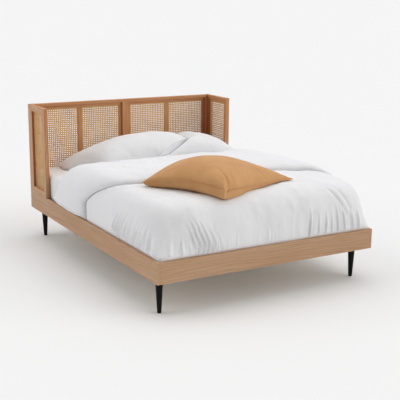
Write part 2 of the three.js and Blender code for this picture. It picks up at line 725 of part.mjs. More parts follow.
function duvetForm() {
  const columns = duvetColumns();
  const rowsOf = columns.map(duvetRows);
  const rowCount = rowsOf[0].length;
  const rowNumbers = Array.from({ length: rowCount }, (_, r) => r);
  const top = rowNumbers.map(r => columns.map(({ x, up }, c) => {
    const { y, topZ } = rowsOf[c][r];
    return [x, y, blend(duvetShoulderZ, Math.max(topZ, duvetShoulderZ), up)];
  }));
  const last = columns.length - 1;
  const innerTop = rowNumbers.map(r => columns.map(({ x }, c) => {
    const reach = duvetInnerX / (duvetInnerX + DUVET_BULGE);
    return [x * reach, rowsOf[c][r].innerY, duvetInnerZ];
  }));

  // The path of the skirt: down the left side to the foot, across it, and back up the right side
  const path = [
    ...rowNumbers.slice().reverse().map(r => ({ c: 0, r })),
    ...columns.slice(1, last).map((_, n) => ({ c: n + 1, r: 0 })),
    ...rowNumbers.map(r => ({ c: last, r })),
  ];
  const skirt = duvetSkirt.map(({ z, out }) => path.map(({ c, r }) => {
    const reach = (duvetInnerX + out) / (duvetInnerX + DUVET_BULGE);
    const footShare = Math.max(0, 1 - r / ROUND_STEPS);
    return [columns[c].x * reach, rowsOf[c][r].y + (DUVET_BULGE - out) * footShare, z];
  }));
  const innerTopEdge = path.map(({ c, r }) => innerTop[r][c]);
  const innerHem = innerTopEdge.map(([x, y]) => [x, y, duvetHemZ]);

  // The head ends of the skirt are closed by fans from the inner top corner
  const fans = [0, path.length - 1].map(n => {
    const edge = [...skirt.map(row => row[n]), innerHem[n]];
    return { rows: [edge, edge.map(() => innerTopEdge[n])], flip: n === 0 };
  });
  return surfaceFrom([
    { rows: top },
    { rows: innerTop, flip: true },
    { rows: skirt, flip: true },
    { rows: [innerTopEdge, innerHem] },
    { rows: [skirt[skirt.length - 1], innerHem], flip: true },
    { rows: [top[rowCount - 1], innerTop[rowCount - 1]] },
    ...fans,
  ]);
}

// Pillows and cushion: two crowned faces that meet at the seam, with drawn-in sides and pointed corners

function plumpForm({ length, width, up, down, pinch }) {
  const face = height => Array.from({ length: PLUMP_ROWS + 1 }, (_, r) => {
    const v = Math.sin(Math.PI * (r / PLUMP_ROWS - 0.5));
    return Array.from({ length: PLUMP_COLUMNS + 1 }, (_, c) => {
      const u = Math.sin(Math.PI * (c / PLUMP_COLUMNS - 0.5));
      const rise = Math.max(0, (1 - u ** 2) * (1 - v ** 2)) ** PLUMP_POWER;
      const x = length / 2 * u * (1 - pinch * (1 - v ** 2) * u ** 2);
      const y = width / 2 * v * (1 - pinch * (1 - u ** 2) * v ** 2);
      return [x, y, height * rise];
    });
  });
  return surfaceFrom([{ rows: face(up) }, { rows: face(-down), flip: true }]);
}

// A block that fills everything on one side of a slanted upright plane between the pillows
function meetingBlock(side) {
  const size = MATTRESS_LENGTH;
  const block = new THREE.BoxGeometry(size, size, size);
  block.translate(side * (size - JOINT_GAP) / 2, 0, 0);
  block.rotateZ(-PILLOW_MEETING_SLANT);
  return block.translate(PILLOW_MEETING_X, headboardFrontY - PILLOW_DEPTH / 2, mattressTopZ);
}

function addPillows(duvet) {
  const middleY = headboardFrontY - Math.cos(PILLOW_LEAN) * PILLOW_DEPTH / 2;
  const middleZ = sheetTopZ + PILLOW_BELLY;
  const floor = boxBetween([-outerHalfWidth, footY, 0], [outerHalfWidth, 2 * headY, sheetTopZ + JOINT_GAP]);
  const wall = boxBetween(
    [-outerHalfWidth, headboardFrontY - JOINT_GAP, 0], [outerHalfWidth, 2 * headY, 2 * surroundTopZ]);
  const aboveDuvet = duvet.clone().translate(0, 0, JOINT_GAP);
  const rightX = wingInnerX - RIGHT_PILLOW_FROM_WING - RIGHT_PILLOW_WIDTH / 2;
  const pillows = [
    { name: 'pillow_left', x: LEFT_PILLOW_X, length: LEFT_PILLOW_WIDTH, roll: LEFT_PILLOW_ROLL, beyond: 1 },
    { name: 'pillow_right', x: rightX, length: RIGHT_PILLOW_WIDTH, roll: RIGHT_PILLOW_ROLL, beyond: -1 },
  ];
  for (const { name, x, length, roll, beyond } of pillows) {
    const form = plumpForm({
      length,
      width: PILLOW_DEPTH,
      up: PILLOW_CROWN,
      down: PILLOW_BELLY,
      pinch: PILLOW_PINCH,
    });
    form.rotateX(PILLOW_LEAN).rotateY(-roll).translate(x, middleY, middleZ);
    addMesh(name, cut(form, floor, wall, meetingBlock(beyond), aboveDuvet), whiteCotton());
  }
}

function addCushion(duvet) {
  const form = plumpForm({
    length: CUSHION_LENGTH,
    width: CUSHION_WIDTH,
    up: CUSHION_CROWN,
    down: CUSHION_BELLY,
    pinch: CUSHION_PINCH,
  });
  form.rotateX(CUSHION_TILT).rotateZ(CUSHION_TURN);
  form.translate(CUSHION_X, mattressHeadY - CUSHION_FROM_HEAD, duvetTopZ + CUSHION_BELLY);
  addMesh('cushion', cut(form, duvet.clone().translate(0, 0, JOINT_GAP)), camelLinen());
}

addRails();
addLegs();
addCornerBlocks();
addCleats();
addSlats();
addBeam();
addBeamHangers();
addSupport();
addHeadboard();
addWing('left', -1);
addWing('right', 1);
addMattress();
const duvet = duvetForm();
addMesh('duvet', duvet, whiteCotton());
addPillows(duvet);
addCushion(duvet);

export default bed;
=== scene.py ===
import math

import bmesh
import bpy
import numpy as np
from mathutils import Matrix, Vector, noise
from mathutils.bvhtree import BVHTree


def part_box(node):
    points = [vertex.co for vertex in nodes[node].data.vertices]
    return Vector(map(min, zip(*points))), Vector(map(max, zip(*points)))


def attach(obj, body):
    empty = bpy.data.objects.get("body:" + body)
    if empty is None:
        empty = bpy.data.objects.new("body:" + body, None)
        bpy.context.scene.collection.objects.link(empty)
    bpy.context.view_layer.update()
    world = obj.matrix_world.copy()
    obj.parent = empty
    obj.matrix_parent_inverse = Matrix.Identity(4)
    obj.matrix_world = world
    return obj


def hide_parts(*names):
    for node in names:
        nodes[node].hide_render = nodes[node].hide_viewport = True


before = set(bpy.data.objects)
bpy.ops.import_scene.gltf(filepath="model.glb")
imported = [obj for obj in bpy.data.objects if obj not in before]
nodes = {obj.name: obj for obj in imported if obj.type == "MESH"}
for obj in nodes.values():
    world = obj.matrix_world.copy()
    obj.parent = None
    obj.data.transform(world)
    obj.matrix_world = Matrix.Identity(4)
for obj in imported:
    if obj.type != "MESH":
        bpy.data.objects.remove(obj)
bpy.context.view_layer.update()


# The camera stands off the bed's left foot corner at eye height and looks slightly down
# at it, with a long lens. Its place and turn were fitted to points of the frame.
def put(name, data):
    made = bpy.data.objects.new(name, data)
    bpy.context.scene.collection.objects.link(made)
    return made


def place_camera():
    place = (-2.71107, -4.81371, 1.6965)
    yaw, pitch, roll = 0.52789, 0.23478, 0.01023
    ahead = Vector((math.sin(yaw) * math.cos(pitch), math.cos(yaw) * math.cos(pitch), -math.sin(pitch)))
    level = Vector((math.cos(yaw), -math.sin(yaw), 0.0))
    upright = level.cross(ahead)
    right = level * math.cos(roll) + upright * math.sin(roll)
    up = upright * math.cos(roll) - level * math.sin(roll)
    camera = put("camera", bpy.data.cameras.new("camera"))
    camera.data.lens = 77.2
    camera.data.sensor_width = 36.0
    camera.data.clip_end = 3000.0
    turn = Matrix((right, up, -ahead)).transposed()
    camera.matrix_world = Matrix.Translation(place) @ turn.to_4x4()
    bpy.context.scene.camera = camera


place_camera()


# The studio is one pale floor that runs to the horizon, a sky of grey light, and three broad
# soft lamps: one overhead, one behind the bed's left and one before its right.
def srgb(red, green, blue):
    def linear(value):
        share = value / 255
        return share / 12.92 if share <= 0.04045 else ((share + 0.055) / 1.055) ** 2.4
    return (linear(red), linear(green), linear(blue), 1.0)


def feed(tree, made, inputs):
    """Gives a node's inputs their values, and links those whose value is another node's output."""
    for name, value in inputs.items():
        if isinstance(value, bpy.types.NodeSocket):
            tree.links.new(value, made.inputs[name])
        else:
            made.inputs[name].default_value = value


def node(tree, kind, inputs=None, **settings):
    made = tree.nodes.new(kind)
    for name, value in settings.items():
        setattr(made, name, value)
    feed(tree, made, inputs or {})
    return made


def maths(tree, operation, *values, clamp=False):
    inputs = dict(enumerate(values))
    return node(tree, "ShaderNodeMath", inputs, operation=operation, use_clamp=clamp).outputs[0]


def new_material(name):
    material = bpy.data.materials.new(name)
    material.use_nodes = True
    return material, material.node_tree, material.node_tree.nodes["Principled BSDF"]


def soft_lamp(name, toward, strength, spread):
    lamp = put(name, bpy.data.lights.new(name, "SUN"))
    lamp.data.energy = strength
    lamp.data.color = (1.038, 1.004, 0.958)
    lamp.data.angle = math.radians(spread)
    lamp.rotation_mode = "QUATERNION"
    lamp.rotation_quaternion = Vector(toward).to_track_quat("-Z", "Y")


def build_sky(backdrop):
    strength, slope, bright_side = 0.44, 0.95, (0.55, 0.83, 0.0)
    world = bpy.data.worlds.new("studio")
    world.use_nodes = True
    bpy.context.scene.world = world
    tree = world.node_tree
    tree.nodes.clear()
    rays = node(tree, "ShaderNodeLightPath").outputs
    seen = maths(tree, "MAXIMUM", rays["Is Camera Ray"], rays["Is Glossy Ray"])
    seen = maths(tree, "MAXIMUM", seen, rays["Is Transmission Ray"])
    # The sky is dimmer on the side that the camera looks from
    direction = node(tree, "ShaderNodeTexCoord").outputs["Generated"]
    brighter = node(tree, "ShaderNodeVectorMath", {0: direction, 1: bright_side}, operation="DOT_PRODUCT")
    level = maths(tree, "MULTIPLY_ADD", brighter.outputs["Value"], slope * strength, strength)
    light = node(tree, "ShaderNodeBackground", {"Color": (0.95, 0.995, 1.055, 1.0), "Strength": level})
    shown = node(tree, "ShaderNodeBackground", {"Color": backdrop, "Strength": 1.0})
    mixed = node(tree, "ShaderNodeMixShader", {0: seen, 1: light.outputs[0], 2: shown.outputs[0]})
    node(tree, "ShaderNodeOutputWorld", {"Surface": mixed.outputs[0]})


def build_floor(backdrop):
    reach, glow_share = 900.0, 0.06
    corners = [(-reach, -reach, 0), (reach, -reach, 0), (reach, reach, 0), (-reach, reach, 0)]
    mesh = bpy.data.meshes.new("floor")
    mesh.from_pydata(corners, [], [(0, 1, 2, 3)])
    paint, tree, shader = new_material("floor_paint")
    feed(tree, shader, {"Base Color": backdrop, "Roughness": 1.0, "Specular IOR Level": 0.0})
    # The camera sees a little of the paper's own white, so that the shadow stays soft and grey
    sees = node(tree, "ShaderNodeLightPath").outputs["Is Camera Ray"]
    glow = node(tree, "ShaderNodeEmission", {"Color": backdrop, "Strength": 1.0})
    part = maths(tree, "MULTIPLY", sees, glow_share)
    both = node(tree, "ShaderNodeMixShader", {0: part, 1: shader.outputs[0], 2: glow.outputs[0]})
    tree.links.new(both.outputs[0], tree.nodes["Material Output"].inputs["Surface"])
    mesh.materials.append(paint)
    put("floor", mesh)


build_sky(srgb(245, 245, 245))
soft_lamp("lamp_overhead", toward=(-0.10, -0.02, -1.0), strength=0.94, spread=60)
soft_lamp("lamp_left", toward=(0.85, -0.45, -0.62), strength=0.75, spread=46)
soft_lamp("lamp_right", toward=(-0.66, 0.68, -0.45), strength=1.00, spread=50)
build_floor(srgb(245, 245, 245))
bpy.context.scene.view_settings.view_transform = "Standard"


# The frame's rails are pale oak boards, sawn square with their edges just broken, and
# glued and screwed at the corners. The grain runs along each board.
def shader_group(name, inputs, outputs):
    tree = bpy.data.node_groups.new(name, "ShaderNodeTree")
    for label, kind, value in inputs:
        socket = tree.interface.new_socket(label, in_out="INPUT", socket_type=kind)
        if value is not None:
            socket.default_value = value
    for label, kind in outputs:
        tree.interface.new_socket(label, in_out="OUTPUT", socket_type=kind)
    return tree, tree.nodes.new("NodeGroupInput").outputs, tree.nodes.new("NodeGroupOutput").inputs


def stretched(tree, vector, scale):
    return node(tree, "ShaderNodeMapping", {"Vector": vector, "Scale": scale}).outputs[0]


def blended(tree, share, first, second, mode="MIX"):
    mix = node(tree, "ShaderNodeMix", {0: share, 6: first, 7: second}, data_type="RGBA", blend_type=mode)
    return mix.outputs[2]


def band(tree, value, low, high, to_low=0.0, to_high=1.0):
    mapped = node(tree, "ShaderNodeMapRange", {
        "Value": value, "From Min": low, "From Max": high, "To Min": to_low, "To Max": to_high})
    return mapped.outputs[0]


def mottled(tree, vector, scale, detail, roughness=0.5):
    """Noise from 0 to 1. A vector that is already stretched takes the scale 1."""
    inputs = {"Scale": scale, "Detail": detail, "Roughness": roughness}
    return node(tree, "ShaderNodeTexNoise", inputs | ({"Vector": vector} if vector else {})).outputs["Fac"]


def object_place(tree):
    return node(tree, "ShaderNodeTexCoord").outputs["Object"]


def surfaced(tree, shader, colour, roughness, height, strength, distance):
    relief = node(tree, "ShaderNodeBump", {"Height": height, "Strength": strength, "Distance": distance})
    feed(tree, shader, {"Base Color": colour, "Roughness": roughness, "Normal": relief.outputs[0]})


SURFACE_OUTPUTS = [("Color", "NodeSocketColor"), ("Roughness", "NodeSocketFloat"), ("Height", "NodeSocketFloat")]


def build_timber_group():
    tree, given, out = shader_group("timber_grain", [
        ("Vector", "NodeSocketVector", None),
        ("Pale", "NodeSocketColor", (0.5, 0.35, 0.2, 1)), ("Dark", "NodeSocketColor", (0.3, 0.2, 0.1, 1)),
        ("Figure", "NodeSocketFloat", 0.6), ("Pores", "NodeSocketFloat", 0.5)], SURFACE_OUTPUTS)
    place = given["Vector"]
    # Broad growth rings, bent by slow noise, show as long flames on the board's face
    drift = node(tree, "ShaderNodeTexNoise", {
        "Vector": stretched(tree, place, (1.3, 5.0, 5.0)), "Scale": 1.0, "Detail": 2.0})
    across = {0: drift.outputs["Color"], 1: (0.0, 0.10, 0.10)}
    bent = node(tree, "ShaderNodeVectorMath", across, operation="MULTIPLY")
    ring_place = node(tree, "ShaderNodeVectorMath", {0: place, 1: bent.outputs[0]}, operation="ADD")
    rings = node(tree, "ShaderNodeTexWave", {
        "Vector": stretched(tree, ring_place.outputs[0], (0.7, 22.0, 22.0)), "Scale": 1.6, "Distortion": 3.2,
        "Detail": 3.0, "Detail Scale": 1.2}, wave_type="BANDS", bands_direction="DIAGONAL", wave_profile="SAW")
    # Fine streaks and short dark pores run with the grain
    streaks = mottled(tree, stretched(tree, place, (3.0, 95.0, 95.0)), 1.0, 5.0, 0.65)
    pores = mottled(tree, stretched(tree, place, (55.0, 1500.0, 1500.0)), 1.0, 2.0)
    clouds = mottled(tree, stretched(tree, place, (1.6, 7.0, 7.0)), 1.0, 3.0)
    figure = maths(tree, "MULTIPLY", band(tree, rings.outputs["Fac"], 0.15, 1.0), given["Figure"])
    shade = maths(tree, "MULTIPLY", band(tree, streaks, 0.32, 0.72), 0.55)
    depth = maths(tree, "ADD", figure, shade, clamp=True)
    body = blended(tree, depth, given["Pale"], given["Dark"])
    tint = blended(tree, band(tree, clouds, 0.3, 0.7, 0.0, 0.35), body, given["Dark"], "SOFT_LIGHT")
    pore_share = maths(tree, "MULTIPLY", band(tree, pores, 0.60, 0.70), given["Pores"])
    pore_colour = blended(tree, 0.45, given["Dark"], (0.02, 0.01, 0.005, 1))
    tree.links.new(blended(tree, pore_share, tint, pore_colour), out["Color"])
    tree.links.new(band(tree, streaks, 0.3, 0.7, 0.48, 0.66), out["Roughness"])
    tree.links.new(maths(tree, "SUBTRACT", band(tree, streaks, 0.3, 0.7), pore_share), out["Height"])
    return tree


timber_group = build_timber_group()
GRAIN_TURNS = {"X": (0, 0, 0), "Y": (0, 0, -math.pi / 2), "Z": (0, math.pi / 2, 0)}


def timber(name, along, pale, dark, figure=0.35, pores=0.5, specular=0.35, outer=None):
    """Wood with its grain along an axis. Where outer gives two colours, the part's outward skin has them."""
    material, tree, shader = new_material(name)
    place = object_place(tree)
    rng = np.random.default_rng(sum(name.encode()))
    turned = node(tree, "ShaderNodeMapping", {
        "Vector": place, "Rotation": GRAIN_TURNS[along], "Location": tuple(rng.uniform(-3, 3, 3))})
    if outer:
        skin_starts, skin_full = 0.7330, 0.7342
        far = node(tree, "ShaderNodeSeparateXYZ", {"Vector": place}).outputs["X"]
        facing = band(tree, maths(tree, "ABSOLUTE", far), skin_starts, skin_full)
        pale, dark = blended(tree, facing, pale, outer[0]), blended(tree, facing, dark, outer[1])
    grain = node(tree, "ShaderNodeGroup", {}, node_tree=timber_group)
    feed(tree, grain, {"Vector": turned.outputs[0], "Pale": pale, "Dark": dark, "Figure": figure, "Pores": pores})
    surfaced(tree, shader, *(grain.outputs[label] for label, _ in SURFACE_OUTPUTS), 0.25, 0.0004)
    shader.inputs["Specular IOR Level"].default_value = specular
    return material


def dress(name, material, edge=0.0012):
    """Gives a node of the frame its material and breaks its edges."""
    piece = nodes[name]
    piece.data.materials.clear()
    piece.data.materials.append(material)
    weld = piece.modifiers.new("weld", "WELD")
    weld.merge_threshold = 0.00002
    if edge:
        bevel = piece.modifiers.new("edge", "BEVEL")
        bevel.width = edge
        bevel.segments = 2
        bevel.limit_method = "ANGLE"
        bevel.angle_limit = math.radians(35)
        even = piece.modifiers.new("even", "WEIGHTED_NORMAL")
        even.keep_sharp = True
    return piece


def build_rails():
    pale, dark = srgb(203, 167, 134), srgb(168, 132, 101)
    for name, along in [("side_rail_left", "Y"), ("side_rail_right", "Y"), ("foot_rail", "X"), ("head_rail", "X")]:
        dress(name, timber("oak_" + name, along, pale, dark))


build_rails()


# The legs are turned beech cones under black lacquer, each on a dark plastic glide and
# screwed up into its corner block by a hanger bolt.
def lathe(name, profile, x, y, material, sides=64):
    """A turned piece from radii and heights. It starts and ends on the axis."""
    crease = math.radians(40)
    rings = np.array(profile, float)
    turns = np.arange(sides) * 2 * math.pi / sides
    points, faces = [], []
    for radius, height in rings[1:-1]:
        points += [(x + radius * math.cos(t), y + radius * math.sin(t), height) for t in turns]
    low, high = len(points), len(points) + 1
    points += [(x, y, rings[0][1]), (x, y, rings[-1][1])]
    last = (len(rings) - 3) * sides
    for n in range(sides):
        m = (n + 1) % sides
        faces.append((low, m, n))
        faces.append((high, last + n, last + m))
        for a in range(0, last, sides):
            faces.append((a + n, a + m, a + sides + m, a + sides + n))
    mesh = bpy.data.meshes.new(name)
    mesh.from_pydata(points, [], faces)
    mesh.shade_smooth()
    mesh.set_sharp_from_angle(angle=crease)
    mesh.materials.append(material)
    return put(name, mesh)


def thread(radius, root, start, pitch, turns):
    """The profile of a screw thread, as one pair of radii for each turn."""
    profile = []
    for n in range(turns):
        profile += [(radius, start + n * pitch), (root, start + n * pitch + pitch / 2)]
    return profile


def speckled(name, dark, light, scale, roughness):
    """Moulded rubber or plastic with a faint mottle."""
    material, tree, shader = new_material(name)
    mottle = blended(tree, mottled(tree, None, scale, 3.0), dark, light)
    feed(tree, shader, {"Base Color": mottle, "Roughness": roughness})
    return material


def build_legs():
    lacquer, tree, shader = new_material("black_lacquer")
    place = object_place(tree)
    grain = mottled(tree, stretched(tree, place, (420, 420, 14)), 1.0, 4.0)
    haze = mottled(tree, place, 35.0, 3.0)
    colour = blended(tree, band(tree, haze, 0.3, 0.7), srgb(7, 7, 8), srgb(13, 12, 12))
    surfaced(tree, shader, colour, band(tree, haze, 0.3, 0.7, 0.44, 0.56), grain, 0.12, 0.0004)
    shader.inputs["Specular IOR Level"].default_value = 0.14
    glide = speckled("leg_glide", srgb(38, 38, 40), srgb(56, 56, 58), 160.0, 0.7)

    glide_top, leg_top, thread_turns = 0.0022, 0.1997, 9
    for name in ["foot_left", "foot_right", "head_left", "head_right"]:
        low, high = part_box("leg_" + name)
        x, y, bolt = (low.x + high.x) / 2, (low.y + high.y) / 2, high.z
        pitch = (bolt - leg_top - 0.004) / thread_turns
        cone = [(0, glide_top), (0.0085, glide_top), (0.0113, 0.0024), (0.0120, 0.0040), (0.0222, leg_top - 0.0035),
                (0.0230, leg_top - 0.0012), (0.0226, leg_top - 0.0003), (0.0215, leg_top), (0.0042, leg_top)]
        tip = [(0.0040, bolt - 0.0015), (0.0028, bolt), (0, bolt)]
        profile = cone + thread(0.0040, 0.0033, leg_top + 0.002, pitch, thread_turns) + tip
        leg = lathe(f"turned_leg_{name}", profile, x, y, lacquer)
        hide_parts("leg_" + name)
        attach(leg, "bed")
        pad = lathe(f"glide_{name}", [(0, 0), (0.0086, 0), (0.0095, 0.0008), (0.0095, 0.0020), (0.0090, glide_top),
                                      (0, glide_top)], x, y, glide)
        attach(pad, "bed")


build_legs()


# Under the bed are plain pine pieces: corner blocks, cleats along the rails, thirteen
# slats laid across, and a beam down the middle.
def build_pine():
    pale, dark = srgb(233, 214, 184), srgb(212, 186, 148)
    kinds = (("slat_cleat", "Y", 0.45, 0.0015), ("slat_", "X", 0.5, 0.002), ("centre_beam", "Y", 0.45, 0.0015),
             ("corner_block", "X", 0.55, 0.001))
    pores, specular = 0.1, 0.25
    for name in sorted(nodes):
        for start, along, figure, edge in kinds:
            if name.startswith(start):
                dress(name, timber("pine_" + name, along, pale, dark, figure, pores, specular), edge)
                break


build_pine()


# Pressed steel stirrups carry the beam's ends, and a steel leg stands under its middle
# on a levelling foot that screws up and down in it.
def build_hardware():
    zinc, tree, shader = new_material("zinc_plate")
    place = object_place(tree)
    spangle = node(tree, "ShaderNodeTexVoronoi", {"Vector": place, "Scale": 240.0}).outputs["Distance"]
    cloud = mottled(tree, place, 60.0, 4.0)
    colour = blended(tree, band(tree, spangle, 0.1, 0.8), srgb(196, 199, 203), srgb(160, 163, 168))
    gloss = band(tree, cloud, 0.3, 0.7, 0.28, 0.46)
    feed(tree, shader, {"Base Color": colour, "Roughness": gloss, "Metallic": 1.0})
    hanger_edge = 0.0006
    for name in ["beam_hanger_foot", "beam_hanger_head"]:
        dress(name, zinc, hanger_edge)

    low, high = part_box("support_leg")
    x, y = (low.x + high.x) / 2, (low.y + high.y) / 2
    post = lathe("support_post", [
        (0, 0.081), (0.0045, 0.0805), (0.0045, low.z), (0.0150, low.z), (0.0160, low.z + 0.001),
        (0.0160, high.z - 0.0055), (0.0170, high.z - 0.004), (0.0205, high.z - 0.004), (0.0210, high.z - 0.0035),
        (0.0210, high.z - 0.0004), (0.0206, high.z), (0, high.z)], x, y, zinc)
    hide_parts("support_leg")
    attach(post, "bed")

    rubber = speckled("foot_rubber", srgb(30, 30, 32), srgb(52, 52, 55), 300.0, 0.75)
    pad = lathe("levelling_pad", [
        (0, 0), (0.0185, 0), (0.0200, 0.0015), (0.0200, 0.0055), (0.0186, 0.0075), (0.0080, 0.0080), (0, 0.0080)],
        x, y, rubber)
    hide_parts("levelling_foot")
    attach(pad, "levelling_foot")
    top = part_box("levelling_foot")[1].z
    stud, root, pitch = 0.0040, 0.0034, 0.00125
    nut = [(0, 0.0078), (0.0065, 0.0079), (0.0065, 0.0125), (stud, 0.0130)]
    tip = [(stud, top - 0.001), (0.0032, top), (0, top)]
    profile = nut + thread(stud, root, 0.0140, pitch, int((top - 0.016) / pitch)) + tip
    screw = lathe("levelling_screw", profile, x, y, zinc, sides=32)
    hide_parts("levelling_foot")
    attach(screw, "levelling_foot")


build_hardware()


# The headboard and its two wings are frames of a darker oak that stand on the rails, with
# a grooved opening for each panel. The wings' outward skins are in a paler veneer, and the
# inner corners where the wings meet the headboard carry painted shade in darker tones.
def build_surround():
    # The second pair of tones is painted shade, darker and redder, for the dim inner corners
    tones, painted_shade_tones = (srgb(210, 157, 112), srgb(174, 118, 76)), (srgb(190, 126, 84), srgb(146, 88, 54))
    veneer = (srgb(205, 166, 131), srgb(178, 138, 102))
    figure, pores, specular, edge = 0.3, 0.5, 0.3, 0.0008
    for name in sorted(nodes):
        if not name.startswith(("headboard_", "wing_")) or "cane" in name:
            continue
        upright = any(part in name for part in ("post", "stile", "mullion"))
        along = "Z" if upright else ("X" if name.startswith("headboard") else "Y")
        # The right post and both wings' rear stiles take the darker tones: painted shade of the corners
        deep = name.startswith("wing_rear_stile") or name == "headboard_post_right"
        outer = veneer if name.startswith("wing_") else None
        wood = timber("oak_" + name, along, *(painted_shade_tones if deep else tones), figure, pores, specular, outer)
        dress(name, wood, edge)


build_surround()


# The panels are split-cane webbing: pairs of upright and level strands with single
# strands woven through them on both diagonals, held in a groove by a round reed.
def strand(path, across, width, depth, points, faces):
    """Adds a strand with a flat diamond section along the path to points and faces."""
    first = len(points)
    for place in path:
        points += [place - across * width / 2, place + depth, place + across * width / 2, place - depth]
    rings = len(path)
    for r in range(rings - 1):
        a = first + 4 * r
        for n in range(4):
            m = (n + 1) % 4
            faces.append((a + n, a + m, a + 4 + m, a + 4 + n))
    faces.append((first + 3, first + 2, first + 1, first))
    last = first + 4 * (rings - 1)
    faces.append((last, last + 1, last + 2, last + 3))


def build_webbing():
    material, tree, shader = new_material("cane_webbing")
    place = object_place(tree)
    patch, fibre = mottled(tree, place, 14.0, 3.0), mottled(tree, place, 900.0, 3.0)
    base = blended(tree, band(tree, patch, 0.3, 0.7), srgb(231, 189, 131), srgb(212, 166, 108))
    colour = blended(tree, band(tree, fibre, 0.35, 0.7, 0.0, 0.5), base, srgb(178, 132, 84))
    surfaced(tree, shader, colour, band(tree, patch, 0.3, 0.7, 0.42, 0.58), fibre, 0.3, 0.0002)

    mesh_size, pair_gap, width, thick = 0.014, 0.0019, 0.0041, 0.0005
    pair_lift, diagonal_lift, diagonal_width, unevenness = 0.00035, 0.0008, width * 0.55, 0.00012
    reed, reed_thick = 0.0032, 0.0015
    up = Vector((0, 0, 1))
    for name in sorted(n for n in nodes if "cane" in n):
        low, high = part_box(name)
        wing = name.startswith("wing")
        side = Vector((0, 1, 0)) if wing else Vector((1, 0, 0))
        out = Vector((1, 0, 0)) if wing else Vector((0, -1, 0))
        size = high - low
        length, height = (size.y if wing else size.x), size.z
        origin = (low + high) / 2 - side * length / 2 - up * height / 2
        rng = np.random.default_rng(sum(name.encode()))
        points, faces = [], []

        def spot(u, w, lift):
            return origin + side * float(u) + up * float(w) + out * float(lift)

        columns, rows = max(2, round(length / mesh_size)), max(2, round(height / mesh_size))
        du, dw = length / columns, height / rows
        for k in range(columns):
            for shift, lift in ((-pair_gap, pair_lift), (pair_gap, -pair_lift)):
                sway = rng.normal(0, unevenness, rows + 1)
                path = [spot((k + 0.5) * du + shift + sway[j], min(height, max(0, j * dw)), lift * (-1) ** j)
                        for j in range(rows + 1)]
                strand(path, side, width, out * thick, points, faces)
        for j in range(rows):
            for shift, lift in ((-pair_gap, -pair_lift), (pair_gap, pair_lift)):
                sway = rng.normal(0, unevenness, columns + 1)
                path = [spot(k * du, (j + 0.5) * dw + shift + sway[k], lift * (-1) ** k)
                        for k in range(columns + 1)]
                strand(path, up, width, out * thick, points, faces)
        for slope in (1, -1):
            across = (up - side * slope).normalized()
            for m in range(-rows, columns + rows + 1):
                path = []
                for j in range(2 * rows + 1):
                    u = (m + 0.5 + slope * j / 2) * du
                    if -1e-9 <= u <= length + 1e-9:
                        path.append(spot(u, j * dw / 2, diagonal_lift * (1 if (j + (slope > 0)) % 2 else -1)))
                if len(path) > 1:
                    strand(path, across, diagonal_width, out * thick, points, faces)
        for u0, w0, u1, w1, upright in ((0, 0, length, 0, False), (0, height, length, height, False),
                                        (0, 0, 0, height, True), (length, 0, length, height, True)):
            inward = side if upright else up
            inset = inward * (reed / 2 * (1 if (u0 if upright else w0) == 0 else -1))
            path = [spot(u0 + (u1 - u0) * t, w0 + (w1 - w0) * t, 0) + inset for t in (0, 0.25, 0.5, 0.75, 1)]
            strand(path, inward, reed, out * reed_thick, points, faces)
        mesh = bpy.data.meshes.new("webbing")
        mesh.from_pydata(points, [], faces)
        mesh.materials.append(material)
        panel = put(name.replace("cane", "webbing"), mesh)
        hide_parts(name)
        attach(panel, "bed")


build_webbing()


# The mattress is a foam block in white ticking, with a taped edge round its top and
# bottom, and a cotton sheet with an elastic hem stretched over it.
def build_cotton_group():
    tree, given, out = shader_group("woven_cloth", [
        ("Vector", "NodeSocketVector", None),
        ("Light", "NodeSocketColor", (0.8, 0.8, 0.8, 1)), ("Shade", "NodeSocketColor", (0.7, 0.7, 0.7, 1)),
        ("Threads", "NodeSocketFloat", 1400.0), ("Slub", "NodeSocketFloat", 0.3)], SURFACE_OUTPUTS)
    fine = node(tree, "ShaderNodeVectorMath", {0: given["Vector"], "Scale": given["Threads"]}, operation="SCALE")
    ribs = {"Vector": fine.outputs[0], "Scale": 0.5, "Distortion": 0.6, "Detail": 1.0}
    warp, weft, rise = (node(tree, "ShaderNodeTexWave", ribs, bands_direction=axis).outputs["Fac"]
                        for axis in "XYZ")
    weave = maths(tree, "ADD", maths(tree, "MULTIPLY", warp, weft), rise)
    slub = mottled(tree, stretched(tree, given["Vector"], (30.0, 420.0, 420.0)), 1.0, 3.0)
    cloud = mottled(tree, given["Vector"], 9.0, 4.0)
    slubs = maths(tree, "MULTIPLY", band(tree, slub, 0.45, 0.75), given["Slub"])
    share = maths(tree, "ADD", band(tree, cloud, 0.3, 0.7, 0.0, 0.45), slubs, clamp=True)
    tree.links.new(blended(tree, share, given["Light"], given["Shade"]), out["Color"])
    tree.links.new(band(tree, cloud, 0.3, 0.7, 0.82, 0.95), out["Roughness"])
    tree.links.new(maths(tree, "ADD", weave, slubs), out["Height"])
    return tree


cloth_group = build_cotton_group()


def cloth(name, light, shade, threads, slub, sheen):
    material, tree, shader = new_material(name)
    weave = node(tree, "ShaderNodeGroup", {}, node_tree=cloth_group)
    feed(tree, weave, {
        "Vector": object_place(tree), "Light": light, "Shade": shade, "Threads": threads, "Slub": slub})
    surfaced(tree, shader, *(weave.outputs[label] for label, _ in SURFACE_OUTPUTS), 0.35, 0.0003)
    feed(tree, shader, {"Sheen Weight": sheen, "Sheen Roughness": 0.5, "Specular IOR Level": 0.2})
    return material


white_cotton = cloth("washed_cotton", srgb(240, 240, 242), srgb(234, 234, 237), 1500.0, 0.2, 0.05)


def grid_faces(rows, columns, flip=False, offset=0):
    """Quads over a grid of points that are numbered row by row."""
    n = np.arange((rows - 1) * (columns - 1))
    a = offset + (n // (columns - 1)) * columns + n % (columns - 1)
    quads = np.stack([a, a + 1, a + 1 + columns, a + columns], 1)
    return quads[:, ::-1] if flip else quads


